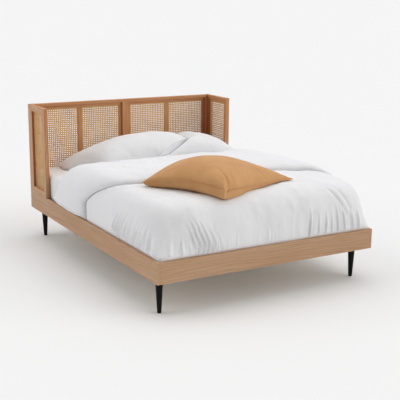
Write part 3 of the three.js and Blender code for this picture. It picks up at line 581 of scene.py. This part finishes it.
def tube_faces(rings, turns):
    """Quads round a closed tube of rings, each with the same number of points."""
    return [(r * turns + n, r * turns + (n + 1) % turns, (r + 1) % rings * turns + (n + 1) % turns,
             (r + 1) % rings * turns + n) for r in range(rings) for n in range(turns)]


def soft_piece(name, points, faces, material):
    mesh = bpy.data.meshes.new(name)
    mesh.from_pydata([tuple(map(float, p)) for p in points], [], [tuple(int(n) for n in f) for f in faces])
    mesh.materials.append(material)
    mesh.shade_smooth()
    return put(name, mesh)


def subdivided(piece):
    smooth = piece.modifiers.new("smooth", "SUBSURF")
    smooth.levels = smooth.render_levels = 1
    return piece


def cushion_block(low, high, radius, step):
    """Points and faces of a block with rounded edges, on an even grid."""
    half = (high - low) / 2
    counts = [max(2, int(round(2 * h / step))) for h in half]
    points, faces, offset = [], [], 0
    for axis in range(3):
        u_axis, v_axis = (axis + 1) % 3, (axis + 2) % 3
        grid_u, grid_v = np.meshgrid(np.linspace(-1, 1, counts[u_axis] + 1), np.linspace(-1, 1, counts[v_axis] + 1))
        for sign in (-1, 1):
            place = np.zeros((grid_u.size, 3))
            place[:, u_axis] = grid_u.ravel() * half[u_axis]
            place[:, v_axis] = grid_v.ravel() * half[v_axis]
            place[:, axis] = sign * half[axis]
            points.append(place)
            faces.append(grid_faces(*grid_u.shape, flip=sign < 0, offset=offset))
            offset += len(place)
    points = np.concatenate(points)
    core = np.clip(points, -(half - radius), half - radius)
    away = points - core
    reach = np.linalg.norm(away, axis=1, keepdims=True)
    points = core + away / np.maximum(reach, 1e-9) * np.minimum(reach, radius)
    return points + (high + low) / 2, np.concatenate(faces)


def welded(piece, distance=1e-5):
    work = bmesh.new()
    work.from_mesh(piece.data)
    bmesh.ops.remove_doubles(work, verts=work.verts, dist=distance)
    bmesh.ops.recalc_face_normals(work, faces=work.faces)
    work.to_mesh(piece.data)
    work.free()
    piece.data.shade_smooth()
    return piece


def rounded_in_plan(points, low, high, radius):
    """The two foot corners of a block drawn in, so that each of them turns on a radius in plan."""
    middle, half = ((low + high) / 2)[:2], ((high - low) / 2)[:2]
    side = np.where(points[:, :2] < middle, -1, 1)
    from_edge = (np.abs(points[:, :2] - middle) - half) / radius + 1
    corner = (from_edge.min(1) > 0) & (points[:, 1] < middle[1])
    turned_in = from_edge * np.sqrt(1 - np.clip(from_edge[:, ::-1], 0, 1) ** 2 / 2)
    drawn = points.copy()
    drawn[corner, :2] = (middle + side * (half + (turned_in - 1) * radius))[corner]
    return drawn


FOOT_CORNER = 0.20


def build_mattress():
    ticking = cloth("mattress_ticking", srgb(232, 230, 224), srgb(214, 211, 203), 700.0, 0.5, 0.05)
    edge_round, grid_step = 0.024, 0.03
    low, high = (np.array(corner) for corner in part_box("mattress"))
    points, faces = cushion_block(low, high, edge_round, grid_step)
    # Quilting pulls the faces in between soft squares
    middle, half = (low + high) / 2, (high - low) / 2
    square, quilting = 0.19, 0.004
    flat = np.minimum(np.abs(points[:, 2] - low[2]), np.abs(points[:, 2] - high[2])) < 1e-3
    dimple = np.abs(np.sin(points[:, 0] / square * math.pi)) * np.abs(np.sin(points[:, 1] / square * math.pi))
    points[flat, 2] -= np.sign(points[flat, 2] - middle[2]) * quilting * (1 - np.sqrt(dimple[flat]))
    points = rounded_in_plan(points, low, high, FOOT_CORNER)
    core = subdivided(welded(soft_piece("mattress_core", points, faces, ticking)))
    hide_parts("mattress")
    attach(core, "bed")

    tape, tape_inset, turns, on_edge = 0.0022, 0.022, 8, 0.0235
    outline = []
    for cx, cy, first in ((1, 1, 0), (-1, 1, 90), (-1, -1, 180), (1, -1, 270)):
        for angle in np.radians(np.arange(first, first + 91, 15)):
            outline.append((middle[0] + cx * (half[0] - edge_round) + on_edge * math.cos(angle),
                            middle[1] + cy * (half[1] - edge_round) + on_edge * math.sin(angle)))
    outline = rounded_in_plan(np.array(outline), low, high, FOOT_CORNER)
    for name, z in (("mattress_tape_low", low[2] + tape_inset), ("mattress_tape_high", high[2] - tape_inset)):
        points = []
        for n, (x, y) in enumerate(outline):
            px, py = outline[n - 1]
            nx, ny = outline[(n + 1) % len(outline)]
            ahead = Vector((nx - px, ny - py, 0)).normalized()
            outward = Vector((ahead.y, -ahead.x, 0))
            points += [Vector((x, y, z)) + outward * tape * 0.55 * math.cos(a) + Vector((0, 0, tape)) * math.sin(a)
                       for a in np.arange(turns) * 2 * math.pi / turns]
        piece = welded(soft_piece(name, points, tube_faces(len(outline), turns), ticking))
        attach(piece, "bed")


build_mattress()


def wrinkle(points, size, seed, stretch=(1, 1, 1), detail=2):
    """Smooth noise from -1 to 1 at each point, with folds of about the given size."""
    offset = np.array([seed * 17.31, seed * 5.77, seed * 11.13])
    scaled = points * np.array(stretch) / size + offset
    total = np.zeros(len(points))
    share = 1.0
    for _ in range(detail):
        total += share * np.array([noise.noise(Vector(p)) for p in scaled])
        scaled = scaled * 2.03 + 3.1
        share *= 0.5
    return total


def unit(vectors):
    return vectors / np.maximum(np.linalg.norm(vectors, axis=-1, keepdims=True), 1e-9)


def build_sheet():
    low, high = (np.array(corner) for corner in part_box("fitted_sheet"))
    edge_round, grid_step, cotton_thick = 0.0252, 0.016, 0.0009
    closed_low = low - (0, 0, 0.024)
    points, faces = cushion_block(closed_low, high, edge_round, grid_step)
    # Only the part above the elastic hem is kept of the closed block
    kept = points[:, 2] >= low[2] - 1e-4
    faces = faces[kept[faces].all(1)]
    on_side = points[:, 2] <= high[2] - 0.02
    crease = 0.0012 * np.abs(wrinkle(points, 0.16, 3, (1, 1, 0.4)))
    pull = 0.0016 * np.abs(wrinkle(points, 0.05, 5, (1, 1, 0.15))) * on_side
    away = unit(points - np.clip(points, closed_low + 0.03, high - 0.03))
    points = rounded_in_plan(points - away * (crease + pull)[:, None], low, high, FOOT_CORNER)
    used, faces = np.unique(faces, return_inverse=True)
    sheet = welded(soft_piece("sheet_fitted", points[used], faces.reshape(-1, 4), white_cotton))
    thick = sheet.modifiers.new("thick", "SOLIDIFY")
    thick.thickness = cotton_thick
    thick.offset = -1
    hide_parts("fitted_sheet")
    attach(sheet, "bed")


build_sheet()


# The duvet is a down quilt in a washed cotton cover. Its sides and foot are tucked
# down inside the rails, which gathers them, and its head end is turned back on itself.
def eased_step(share):
    share = np.clip(share, 0, 1)
    return share * share * (3 - 2 * share)


def with_round_corners(base, steps, outer_x, foot_outer):
    """Rounds the two foot corners in plan, tightly at the hem and broadly higher up."""
    corner_starts, corner_rise, hem_radius = 0.325, 0.17, 0.045
    broad = eased_step((base[:, :, 2] - corner_starts) / corner_rise)
    for side, widest in ((-1, 0.215), (1, 0.125)):
        radius = hem_radius + widest * broad
        from_x = (side * base[:, :, 0] - outer_x) / radius + 1
        from_y = (foot_outer - base[:, :, 1]) / radius + 1
        both = (from_x > 0) & (from_y > 0)
        round_x = from_x * np.sqrt(1 - np.clip(from_y, 0, 1) ** 2 / 2)
        round_y = from_y * np.sqrt(1 - np.clip(from_x, 0, 1) ** 2 / 2)
        base[:, :, 0] = np.where(both, side * (outer_x + (round_x - 1) * radius), base[:, :, 0])
        base[:, :, 1] = np.where(both, foot_outer - (round_y - 1) * radius, base[:, :, 1])
    # The filling evens the corners out, less and less away from them
    margin, evened, passes = 18, 0.8, 120
    reach = steps + margin
    taper = np.clip((reach - 1 - np.arange(reach)) / margin, 0, 1)
    weight = evened * (taper[:, None] * taper[None, :])[:, :, None]
    for columns in (slice(0, reach), slice(-1, -reach - 1, -1)):
        patch = base[:reach, columns].copy()
        for _ in range(passes):
            around = (patch[:-2, 1:-1] + patch[2:, 1:-1] + patch[1:-1, :-2] + patch[1:-1, 2:]) / 4
            patch[1:-1, 1:-1] += weight[1:-1, 1:-1] * (around - patch[1:-1, 1:-1])
            patch[0, 1:-1] += weight[0, 1:-1] * ((patch[0, :-2] + patch[0, 2:]) / 2 - patch[0, 1:-1])
            patch[1:-1, 0] += weight[1:-1, 0] * ((patch[:-2, 0] + patch[2:, 0]) / 2 - patch[1:-1, 0])
        base[:reach, columns] = patch
    return base


def soft_relief(flat):
    """Swells, dips and creases all over the quilt."""
    puff = 0.0065 * wrinkle(flat, 0.34, 1, (1, 1, 0.6), 2)
    soft = 0.0050 * wrinkle(flat, 0.13, 2, (1, 0.7, 0.6), 2)
    ridge = 1 - np.abs(wrinkle(flat, 0.085, 4, (1.0, 0.55, 0.5), 1)) * 2.2
    crease = 0.0034 * np.clip(ridge, -0.4, 1) * np.clip(0.45 + wrinkle(flat, 0.4, 6, (1, 1, 1), 1), 0, 1)
    fine = 0.0008 * wrinkle(flat, 0.028, 7, (1, 0.8, 0.7), 2)
    return puff + soft + crease + fine


def gathers_from(hem_run, height_up, at_foot):
    """Folds that stand up from the tucked hem, by their place, lean, top, width and height."""
    rail_top = 0.322
    gathers = [
        (-0.735, 0.1, 0.5, 0.011, 0.009), (-0.708, 0.04, 0.48, 0.01, 0.0105), (-0.683, 0.0, 0.44, 0.009, 0.008),
        (-0.64, -0.05, 0.45, 0.01, 0.005), (-0.56, -0.25, 0.46, 0.011, 0.006), (-0.52, -0.3, 0.42, 0.01, 0.004),
        (-0.465, -0.5, 0.52, 0.0095, 0.0065), (-0.435, -0.48, 0.55, 0.0095, 0.0095),
        (-0.405, -0.46, 0.56, 0.0095, 0.01), (-0.377, -0.44, 0.54, 0.009, 0.0085),
        (-0.348, -0.38, 0.5, 0.009, 0.006), (-0.318, -0.3, 0.46, 0.009, 0.0035),
        (-0.02, -0.1, 0.43, 0.012, 0.004), (0.265, 0.04, 0.52, 0.012, 0.0095),
        (0.33, 0.02, 0.48, 0.0125, 0.007), (0.385, 0.0, 0.5, 0.0115, 0.0065),
        (0.432, -0.05, 0.47, 0.011, 0.007), (0.478, -0.08, 0.52, 0.012, 0.0085),
        (0.528, -0.1, 0.5, 0.012, 0.008), (0.578, -0.05, 0.49, 0.012, 0.0085),
        (0.628, 0.02, 0.47, 0.0115, 0.008), (0.68, 0.08, 0.5, 0.013, 0.0095), (0.735, 0.05, 0.45, 0.011, 0.007)]
    rng = np.random.default_rng(41)
    for place in np.arange(-1.14, -0.77, 0.034):
        gathers.append((place + rng.normal(0, 0.005), 0.55, rng.uniform(0.46, 0.53), 0.0095,
                        rng.uniform(0.006, 0.010)))
    for place in np.arange(-1.60, 1.60, 0.047):
        gathers.append((place + rng.normal(0, 0.012), rng.normal(0, 0.15), rng.uniform(0.36, 0.43), 0.0100,
                        rng.uniform(0.0008, 0.0028)))
    gathered = np.zeros(len(height_up))
    taller = 1.4
    for place, lean_by, top, wide, tall in gathers:
        off = (hem_run - place - lean_by * (height_up - rail_top)) / wide
        fade = np.clip((top - height_up) / (top - rail_top), 0, 1)
        fade = eased_step(fade * (2 - fade))
        gathered += taller * tall * np.exp(-off ** 2 * 0.8) * np.cos(1.9 * off) * fade
    # Two long soft creases climb from the foot over the right shoulder
    for place, lean_by, low_end, top, wide, deep in (
            (0.530, -0.62, 0.40, 0.606, 0.0100, 0.0080), (0.575, -0.55, 0.42, 0.600, 0.0095, 0.0070)):
        off = (hem_run - place - lean_by * (height_up - 0.45)) / wide
        fade = np.clip((height_up - low_end) / 0.05, 0, 1) * np.clip((top - height_up) / 0.03, 0, 1)
        gathered -= deep * np.exp(-off ** 2) * fade * at_foot
    return gathered


def build_duvet():
    inner_x, foot_y, under_z = 0.7018, -0.9573, 0.4821
    loft, bulge = 0.126, 0.027
    side_round, foot_round, power = 0.150, 0.220, 3.2
    shoulder_z, hem_z, hem_out = 0.348, 0.304, 0.012
    head_y = 0.9445
    steps, across_steps = 40, 280
    outer_x = inner_x + bulge
    edge = (math.pi / 2) * np.arange(steps + 1) / steps
    edge_out = np.maximum(0, np.cos(edge)) ** (2 / power)
    edge_up = np.sin(edge) ** (2 / power)

    # Across the bed: place, height share, and how far into a rounded side each column lies
    flat_x = outer_x - side_round
    side_x = flat_x + side_round * edge_out
    into_round = 1 - np.arange(steps + 1) / steps
    middle_x = np.linspace(-flat_x, flat_x, across_steps + 1)[1:-1]
    x = np.concatenate([-side_x, middle_x, side_x[::-1]])
    up = np.concatenate([edge_up, np.ones(len(middle_x)), edge_up[::-1]])
    round_share = np.concatenate([into_round, np.zeros(len(middle_x)), into_round[::-1]])

    straight_hem = head_y - 1.300
    slant_x = inner_x * 0.4
    hem_y = (straight_hem + np.minimum(0.355, 0.430 * np.where(x < 0, round_share, 0) ** 1.35)
             - 0.340 * (np.maximum(0, (x - slant_x) / (outer_x - slant_x))) ** 2)
    fold_y = head_y - 0.645 + 0.245 * round_share ** 1.6

    foot_outer = foot_y - bulge
    flat_foot = foot_outer + foot_round
    top_z = under_z + loft
    # Across the flap's edge: place on the lower duvet, place of the roll, height over the lower duvet
    flap_rise = [(-0.110, -0.110, 0.0), (-0.075, -0.075, 0.003), (-0.045, -0.045, 0.004), (-0.022, -0.020, 0.001),
                 (-0.012, -0.004, -0.006), (-0.004, 0.006, -0.012), (0.000, 0.009, -0.015), (0.003, 0.005, -0.011),
                 (0.006, 0.000, -0.003), (0.009, -0.002, 0.005), (0.013, 0.000, 0.013), (0.020, 0.008, 0.021),
                 (0.031, 0.022, 0.028), (0.048, 0.042, 0.033), (0.070, 0.068, 0.037), (0.105, 0.105, 0.040),
                 (0.150, 0.150, 0.041)]
    rows = []

    def add_row(y, z, rise=0.0, overhang=0.0):
        rows.append([value + 0 * x for value in (y, z, rise, overhang)])

    for s in range(steps + 1):
        add_row(flat_foot - foot_round * edge_out[s], shoulder_z + (top_z - shoulder_z) * edge_up[s])
    plain_steps, flap_starts = 80, flap_rise[0][0]
    for s in range(1, plain_steps + 1):
        add_row(flat_foot + (hem_y + flap_starts - flat_foot) * (s / plain_steps), top_z)
    lower, roll, rises = np.array(flap_rise).T
    finer = np.linspace(0, len(lower) - 1, 2 * len(lower) - 1)
    places = np.arange(len(lower))
    for shift, rolled, rise in zip(*(np.interp(finer, places, list(v))[1:] for v in (lower, roll, rises))):
        add_row(hem_y + shift, top_z, rise, rolled - shift)
    flap_steps, fold_round, fold_rise = 46, 0.074, 0.024
    last_shift, _, last_rise = flap_rise[-1]
    for s in range(1, flap_steps + 1):
        share = s / flap_steps
        y = hem_y + last_shift + (fold_y - fold_round - hem_y - last_shift) * share
        add_row(y, top_z, last_rise + (fold_rise - last_rise) * share ** 2)
    # The roll at the head end goes down to the sheet, and at the sides it hangs to the hem
    fold_steps = 34
    height = top_z + fold_rise - under_z
    for s in range(1, fold_steps + 1):
        angle = math.pi * s / fold_steps
        out = max(0.0, math.sin(angle)) ** 0.8
        fall = (1 - math.copysign(abs(math.cos(angle)) ** 0.9, math.cos(angle))) / 2
        add_row(fold_y - fold_round + fold_round * out, top_z + fold_rise - height * fall)
    count = len(rows)
    y, row_z, rise, overhang = np.array(rows).transpose(1, 0, 2)
    side_thin = 1 - 0.20 * round_share ** 1.5
    lifted = shoulder_z + (row_z - shoulder_z) * up
    base = np.stack([np.tile(x, (count, 1)), y, np.where(row_z >= shoulder_z, lifted, row_z)], 2)
    plain = base.reshape(-1, 3).copy()

    base = with_round_corners(base, steps, outer_x, foot_outer)
    normal = unit(np.cross(np.gradient(base, axis=1), np.gradient(base, axis=0)))
    shape = base + normal * (rise * side_thin)[:, :, None]
    shape[:, :, 1] += overhang * side_thin
    flat = shape.reshape(-1, 3)

    # The place along the tucked hem: across the foot, and on round the corners up the sides
    corner_run = 0.18
    into_side = np.clip((np.abs(plain[:, 0]) - flat_x) / side_round, 0, 1)
    into_foot = np.clip((flat_foot - plain[:, 1]) / foot_round, 0, 1)
    around = np.arctan2(into_side, np.maximum(into_foot, 1e-6)) / (math.pi / 2) * (into_side > 0)
    hem_run = np.sign(plain[:, 0]) * (np.minimum(np.abs(plain[:, 0]), flat_x) + corner_run * around
                                     + np.maximum(0, plain[:, 1] - flat_foot) * (around > 0.999))

    gathered = gathers_from(hem_run, flat[:, 2], into_foot > 0)
    lift = soft_relief(flat) + gathered * np.clip(np.maximum(into_foot, into_side) * 4, 0, 1)
    flat = flat + normal.reshape(-1, 3) * lift[:, None]
    shape = flat.reshape(count, len(x), 3)

    # The skirt goes down inside the rails to its hem, from the head end round the foot and back
    path = ([(r, 0) for r in range(count - 1, -1, -1)] + [(0, c) for c in range(1, len(x) - 1)]
            + [(r, len(x) - 1) for r in range(count)])
    rim = np.array([shape[r, c] for r, c in path])
    skirt = [rim]
    for z, out in ((0.335, 0.021), (0.3223, hem_out), (hem_z, hem_out)):
        ring = rim.copy()
        ring[:, 0] = np.clip(rim[:, 0], -(inner_x + out), inner_x + out)
        ring[:, 1] = np.maximum(rim[:, 1], foot_y - out)
        ring[:, 2] = np.minimum(rim[:, 2], z)
        skirt.append(ring)
    # Inside, the hem turns up again along the mattress and lies over it
    inner = skirt[-1].copy()
    inner[:, 0] = np.clip(inner[:, 0], -inner_x, inner_x)
    inner[:, 1] = np.maximum(inner[:, 1], foot_y)
    clear_of_mattress = 0.205
    inner = rounded_in_plan(inner, np.array([-inner_x, foot_y]), np.array([inner_x, 1.0]), clear_of_mattress)
    ceiling = inner.copy()
    ceiling[:, 2] = under_z
    skirt += [inner, ceiling]
    points = [flat]
    faces = [tuple(f) for f in grid_faces(count, len(x))]
    rings = [[r * len(x) + c for r, c in path]]
    for n, ring in enumerate(skirt[1:]):
        points.append(ring)
        rings.append(list(range(len(flat) + n * len(path), len(flat) + (n + 1) * len(path))))
    for upper, lower in zip(rings, rings[1:]):
        for n in range(len(path) - 1):
            faces.append((upper[n], upper[n + 1], lower[n + 1], lower[n]))
    # Under the quilt, narrow strips run from the foot to the head, and one face lies along each side
    head_edge = list(range((count - 1) * len(x), count * len(x)))
    under = rings[-1]
    foot_edge = under[count - 1:len(under) - count + 1]
    for c in range(steps, len(x) - 1 - steps):
        faces.append((foot_edge[c], foot_edge[c + 1], head_edge[c + 1], head_edge[c]))
    over_wall = int(np.argmax(x >= -inner_x))
    for ring_order, head_order in ((1, head_edge), (-1, head_edge[::-1])):
        side_edge = under[::ring_order][:count + steps]
        faces.append(tuple(side_edge + head_order[over_wall:steps + 1][::-1]))
        faces.append(tuple([ring[::ring_order][0] for ring in rings] + head_order[1:over_wall + 1][::-1]))
    duvet = soft_piece("duvet_quilt", np.concatenate(points), faces, white_cotton)
    welded(duvet, 2e-5)
    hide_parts("duvet")
    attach(duvet, "bed")
    return duvet


duvet = build_duvet()


# Two down pillows in plain cotton cases lie side by side against the headboard. Each is
# two panels sewn together, filled until it is plump, and pressed against its neighbour.
def sewn_panels(columns, rows):
    """Places from -1 to 1 over a panel, closer at its edges, and the faces of two panels sewn at the rim."""
    def eased(count):
        t = np.linspace(-1, 1, count + 1)
        return 0.5 * t + 0.5 * np.sin(t * math.pi / 2)
    u, v = np.meshgrid(eased(columns), eased(rows))
    under = np.arange(u.size).reshape(u.shape)
    inside = under[1:-1, 1:-1].size
    under[1:-1, 1:-1] = u.size + np.arange(inside).reshape(rows - 1, columns - 1)
    upper_faces = grid_faces(rows + 1, columns + 1)
    lower_faces = under.ravel()[grid_faces(rows + 1, columns + 1, True)]
    ring = np.arange(u.size).reshape(u.shape)
    rim = np.concatenate([ring[0, :-1], ring[:-1, -1], ring[-1, :0:-1], ring[:0:-1, 0]])
    return u, v, np.concatenate([upper_faces, lower_faces]), rim


def plumped(u, v, length, width, crown, belly, seam_heights, fullness, pinch, heavier=(0.0, 0.0)):
    """Points of both panels. The seam's surface follows heights given at three by three places."""
    def weights(t):
        return np.stack([t * (t - 1) / 2, 1 - t * t, t * (t + 1) / 2])
    seam = np.einsum("aij,ab,bij->ij", weights(v), np.array(seam_heights), weights(u))
    rise = np.maximum(0, (1 - u ** 2) * (1 - v ** 2)) ** fullness
    rise = rise * (1 + heavier[0] * u + heavier[1] * v)
    x = length / 2 * u * (1 - pinch * (1 - v ** 2))
    y = width / 2 * v * (1 - pinch * (1 - u ** 2))
    upper = np.stack([x, y, seam + crown * rise], 2)
    lower = np.stack([x, y, seam - belly * np.sqrt(rise)], 2)
    return np.concatenate([upper.reshape(-1, 3), lower[1:-1, 1:-1].reshape(-1, 3)])


def on_both(over_panel):
    """Values over one panel, for the points of both panels in their order."""
    return np.concatenate([over_panel.ravel(), over_panel[1:-1, 1:-1].ravel()])


def puckered(points, u, v, length, width, seed, seam_pull, slack):
    """Short wrinkles that run in from the seam, and broad slack waves over each panel."""
    lower = np.arange(len(points)) >= u.size
    from_end = (1 - np.abs(on_both(u))) * length / 2
    from_side = (1 - np.abs(on_both(v))) * width / 2
    ends = np.exp(-(from_end / 0.055) ** 2) * wrinkle(points, 0.030, seed, (0.18, 1.0, 0.3), 2)
    sides = np.exp(-(from_side / 0.055) ** 2) * wrinkle(points, 0.030, seed + 1, (1.0, 0.18, 0.3), 2)
    nearest = np.minimum(from_end, from_side)
    held = 0.35 + 0.65 * np.clip(nearest / 0.02, 0, 1)
    free = np.clip(nearest / 0.08, 0, 1)
    waves = wrinkle(points, 0.15, seed + 2, (1, 1, 0.5), 2)
    points = points.copy()
    points[:, 2] += np.where(lower, -1, 1) * (seam_pull * (ends + sides) * held + slack * waves * free)
    return points


def points_of(piece):
    return np.array([vertex.co for vertex in piece.data.vertices])


def set_points(piece, points):
    piece.data.vertices.foreach_set("co", points.astype(np.float32).ravel())
    piece.data.update()


def relaxed(piece, pressure, cap, frames=16):
    """Lets the sewn cloth settle under the pressure of its filling. No point moves further than the cap."""
    before = points_of(piece)
    maker = piece.modifiers.new("cloth", "CLOTH")
    for label, value in (("quality", 5), ("mass", 0.3), ("tension_stiffness", 15), ("compression_stiffness", 15),
                         ("shear_stiffness", 5), ("bending_stiffness", 0.5), ("use_pressure", True),
                         ("uniform_pressure_force", pressure)):
        setattr(maker.settings, label, value)
    maker.settings.effector_weights.gravity = 0.0
    maker.point_cache.frame_start = 1
    maker.point_cache.frame_end = frames
    maker.collision_settings.use_collision = False
    scene = bpy.context.scene
    for number in range(1, frames + 1):
        scene.frame_set(number)
    after = points_of(piece.evaluated_get(bpy.context.evaluated_depsgraph_get()))
    piece.modifiers.remove(maker)
    scene.frame_set(1)
    moved = after - before
    far = np.linalg.norm(moved, axis=1, keepdims=True)
    set_points(piece, before + moved / np.maximum(far, 1e-9) * cap * np.tanh(far / cap))


def turned(points, about_z):
    cos, sin = math.cos(about_z), math.sin(about_z)
    x, y = points[:, 0].copy(), points[:, 1].copy()
    points[:, 0] = cos * x - sin * y
    points[:, 1] = sin * x + cos * y
    return points


duvet_surface = BVHTree.FromObject(duvet, bpy.context.evaluated_depsgraph_get())


def duvet_top(x, y):
    """Height of the duvet under a place, by a ray straight down."""
    place, _, _, _ = duvet_surface.ray_cast(Vector((float(x), float(y), 2.0)), Vector((0, 0, -1)))
    return place.z if place else -1.0


def above_duvet(points, gap, before_y=math.inf):
    """Lifts the points that lie lower than the duvet, up to a place along the bed."""
    points = points.copy()
    for n, (x, y, z) in enumerate(points):
        if y < before_y:
            points[n, 2] = max(z, duvet_top(x, y) + gap)
    return points


def build_pillows():
    sheet_top, headboard_y, duvet_end_y = 0.4821, 0.9475, 0.34
    meeting_z, lean, soft = 0.640, 0.3, 0.0035

    def held_in(points, side):
        """Presses a pillow softly to the surface where the two meet, the sheet, the headboard and the duvet."""
        points = points.copy()
        x, y, z = points.T
        meeting_x = (0.348 - 2.4 * np.maximum(0, 0.64 - y) ** 1.3 - 0.1 * np.maximum(0, y - 0.64)
                     + lean * (z - meeting_z))
        beyond = (x - meeting_x) * side
        kept = -soft * np.logaddexp(0, -(beyond + 0.0005) / soft)
        points[:, 0] += (kept - beyond) * side
        if side < 0:
            # The right pillow dips a little where the left one lies against it
            points[:, 2] -= 0.014 * np.exp(-(kept / 0.045) ** 2) * (z > 0.6)
        points[:, 2] = np.maximum(points[:, 2], sheet_top + 0.0006)
        points[:, 1] = np.minimum(points[:, 1], headboard_y - 0.0008)
        return above_duvet(points, 0.0008, duvet_end_y)

    # Name, centre, length and depth, rise above and below the seam, side, seed, heights of the seam
    pillows = (
        ("pillow_left", (-0.048, 0.685), (0.985, 0.520), (0.138, 0.080), 1, 31,
         ((0.492, 0.548, 0.600), (0.494, 0.572, 0.604), (0.492, 0.560, 0.596))),
        ("pillow_right", (0.345, 0.690), (0.750, 0.520), (0.104, 0.080), -1, 37,
         ((0.575, 0.575, 0.540), (0.585, 0.590, 0.565), (0.575, 0.590, 0.575))))
    for name, centre, (length, depth), (crown, belly), side, seed, heights in pillows:
        u, v, faces, _ = sewn_panels(84, 44)
        points = plumped(u, v, length, depth, crown, belly, heights, fullness=0.50, pinch=0.05)
        points = puckered(points, u, v, length, depth, seed, seam_pull=0.0035, slack=0.006)
        if side > 0:
            # The left end comes to a point, and its front corner lies further from the duvet
            away = np.clip(-points[:, 0] / (length / 2) - 0.45, 0, 1) / 0.55
            front = np.clip(0.5 - points[:, 1] / depth, 0, 1)
            to_point = np.exp(-((points[:, 1] / (depth / 2) - 0.45) / 0.40) ** 2)
            points[:, 0] += away ** 1.5 * (0.16 * front - 0.080 * to_point)
        points[:, :2] += np.array(centre)
        piece = soft_piece(name + "_case", held_in(points, side), faces, white_cotton)
        relaxed(piece, pressure=3.5, cap=0.008)
        set_points(piece, held_in(points_of(piece), side))
        subdivided(piece)
        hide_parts(name)
        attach(piece, "bed")


build_pillows()


# A cushion in camel linen lies turned on the duvet, filled until it is firm. Its two
# panels meet in a raised seam, and its front corner is blunt.
def build_cushion():
    length, width, crown, belly = 0.735, 0.590, 0.106, 0.085
    centre, turn = (-0.108, -0.572, 0.6081), 0.415
    linen = cloth("camel_linen", srgb(212, 163, 112), srgb(194, 141, 90), 900.0, 0.6, 0.08)
    u, v, faces, rim = sewn_panels(60, 50)
    to_front = (u + 1) ** 2 + (v + 1) ** 2
    fullness = 0.52 - 0.26 * np.exp(-to_front / 0.30)
    heights = ((0.048, 0.022, 0.004), (0.068, 0.050, 0.020), (0.026, 0.044, 0.014))
    points = plumped(u, v, length, width, crown, belly, heights, fullness, 0.09, (-0.20, 0.04))
    points = puckered(points, u, v, length, width, 51, 0.0040, 0.004)
    both_u, both_v = on_both(u), on_both(v)
    blunt = np.exp(-((both_u + 1) ** 2 + (both_v + 1) ** 2) / 0.10)
    points[:, 0] += 0.034 * blunt
    points[:, 1] += 0.030 * blunt
    # The left side's lower panel goes in under the seam
    under = np.arange(len(points)) >= u.size
    tucked = np.clip((both_u + 1) / 0.06, 0, 1) * np.exp(-((both_u + 1) / 0.35) ** 2)
    tip = np.exp(-((both_u + 1) ** 2 + (both_v - 1) ** 2) / 0.10)
    points[:, 2] += 0.020 * tip * under * (1 - np.maximum(both_u ** 2, both_v ** 2))
    points[:, 0] += 0.012 * under * tucked * np.clip((1 - both_v ** 2) * 2.2, 0, 1)
    # Creases pressed into the upper panel: from, to, width and depth
    deeper = 1.6
    for x0, y0, x1, y1, wide, deep in (
            (0.120, -0.262, 0.088, -0.120, 0.009, 0.0065), (0.158, -0.258, 0.150, -0.140, 0.008, 0.0055),
            (0.200, -0.255, 0.215, -0.165, 0.008, 0.0035), (-0.285, -0.262, -0.215, -0.130, 0.012, 0.0080),
            (-0.235, -0.262, -0.170, -0.165, 0.010, 0.0045), (0.290, -0.215, 0.200, -0.100, 0.010, 0.0035),
            (-0.315, 0.200, -0.215, 0.120, 0.010, 0.0040), (-0.305, 0.120, -0.225, 0.070, 0.009, 0.0030),
            (-0.330, -0.080, -0.240, -0.050, 0.010, 0.0030), (-0.325, 0.020, -0.235, 0.025, 0.009, 0.0025)):
        start, run = np.array([x0, y0]), np.array([x1 - x0, y1 - y0])
        along = np.clip(((points[:, :2] - start) @ run) / (run @ run), 0, 1)
        off = np.linalg.norm(points[:, :2] - start - along[:, None] * run, axis=1) / wide
        points[:, 2] -= deeper * deep * np.exp(-off ** 2 * 0.8) * np.cos(1.6 * off) * (1 - 0.7 * along) * ~under
    points = turned(points, turn) + np.array(centre)

    clear = 0.0008
    piece = soft_piece("cushion_cover", above_duvet(points, clear), faces, linen)
    relaxed(piece, pressure=4.0, cap=0.008)
    points = above_duvet(points_of(piece), clear)
    set_points(piece, points)
    subdivided(piece)
    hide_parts("cushion")
    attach(piece, "bed")

    # The seam stands up as a fine rolled edge all round
    turns, roll = 8, 0.0026
    line = points[rim]
    middle = line.mean(0)
    ahead = unit(np.roll(line, -1, 0) - np.roll(line, 1, 0))
    out = unit(np.cross(ahead, (0, 0, 1.0)))
    out *= np.sign(((line - middle) * out).sum(1, keepdims=True))
    lift = np.cross(out, ahead)
    lift *= np.sign(lift[:, 2:3])
    line = line + out * roll * 0.5
    line[:, 2] = np.maximum(line[:, 2], [duvet_top(x, y) + roll + 0.0004 for x, y, _ in line])
    angles = np.arange(turns) * 2 * math.pi / turns
    rings = line[:, None] + roll * (out[:, None] * np.cos(angles)[None, :, None]
                                    + lift[:, None] * np.sin(angles)[None, :, None])
    seam = welded(soft_piece("cushion_seam", rings.reshape(-1, 3), tube_faces(len(rings), turns), linen))
    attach(seam, "bed")


build_cushion()
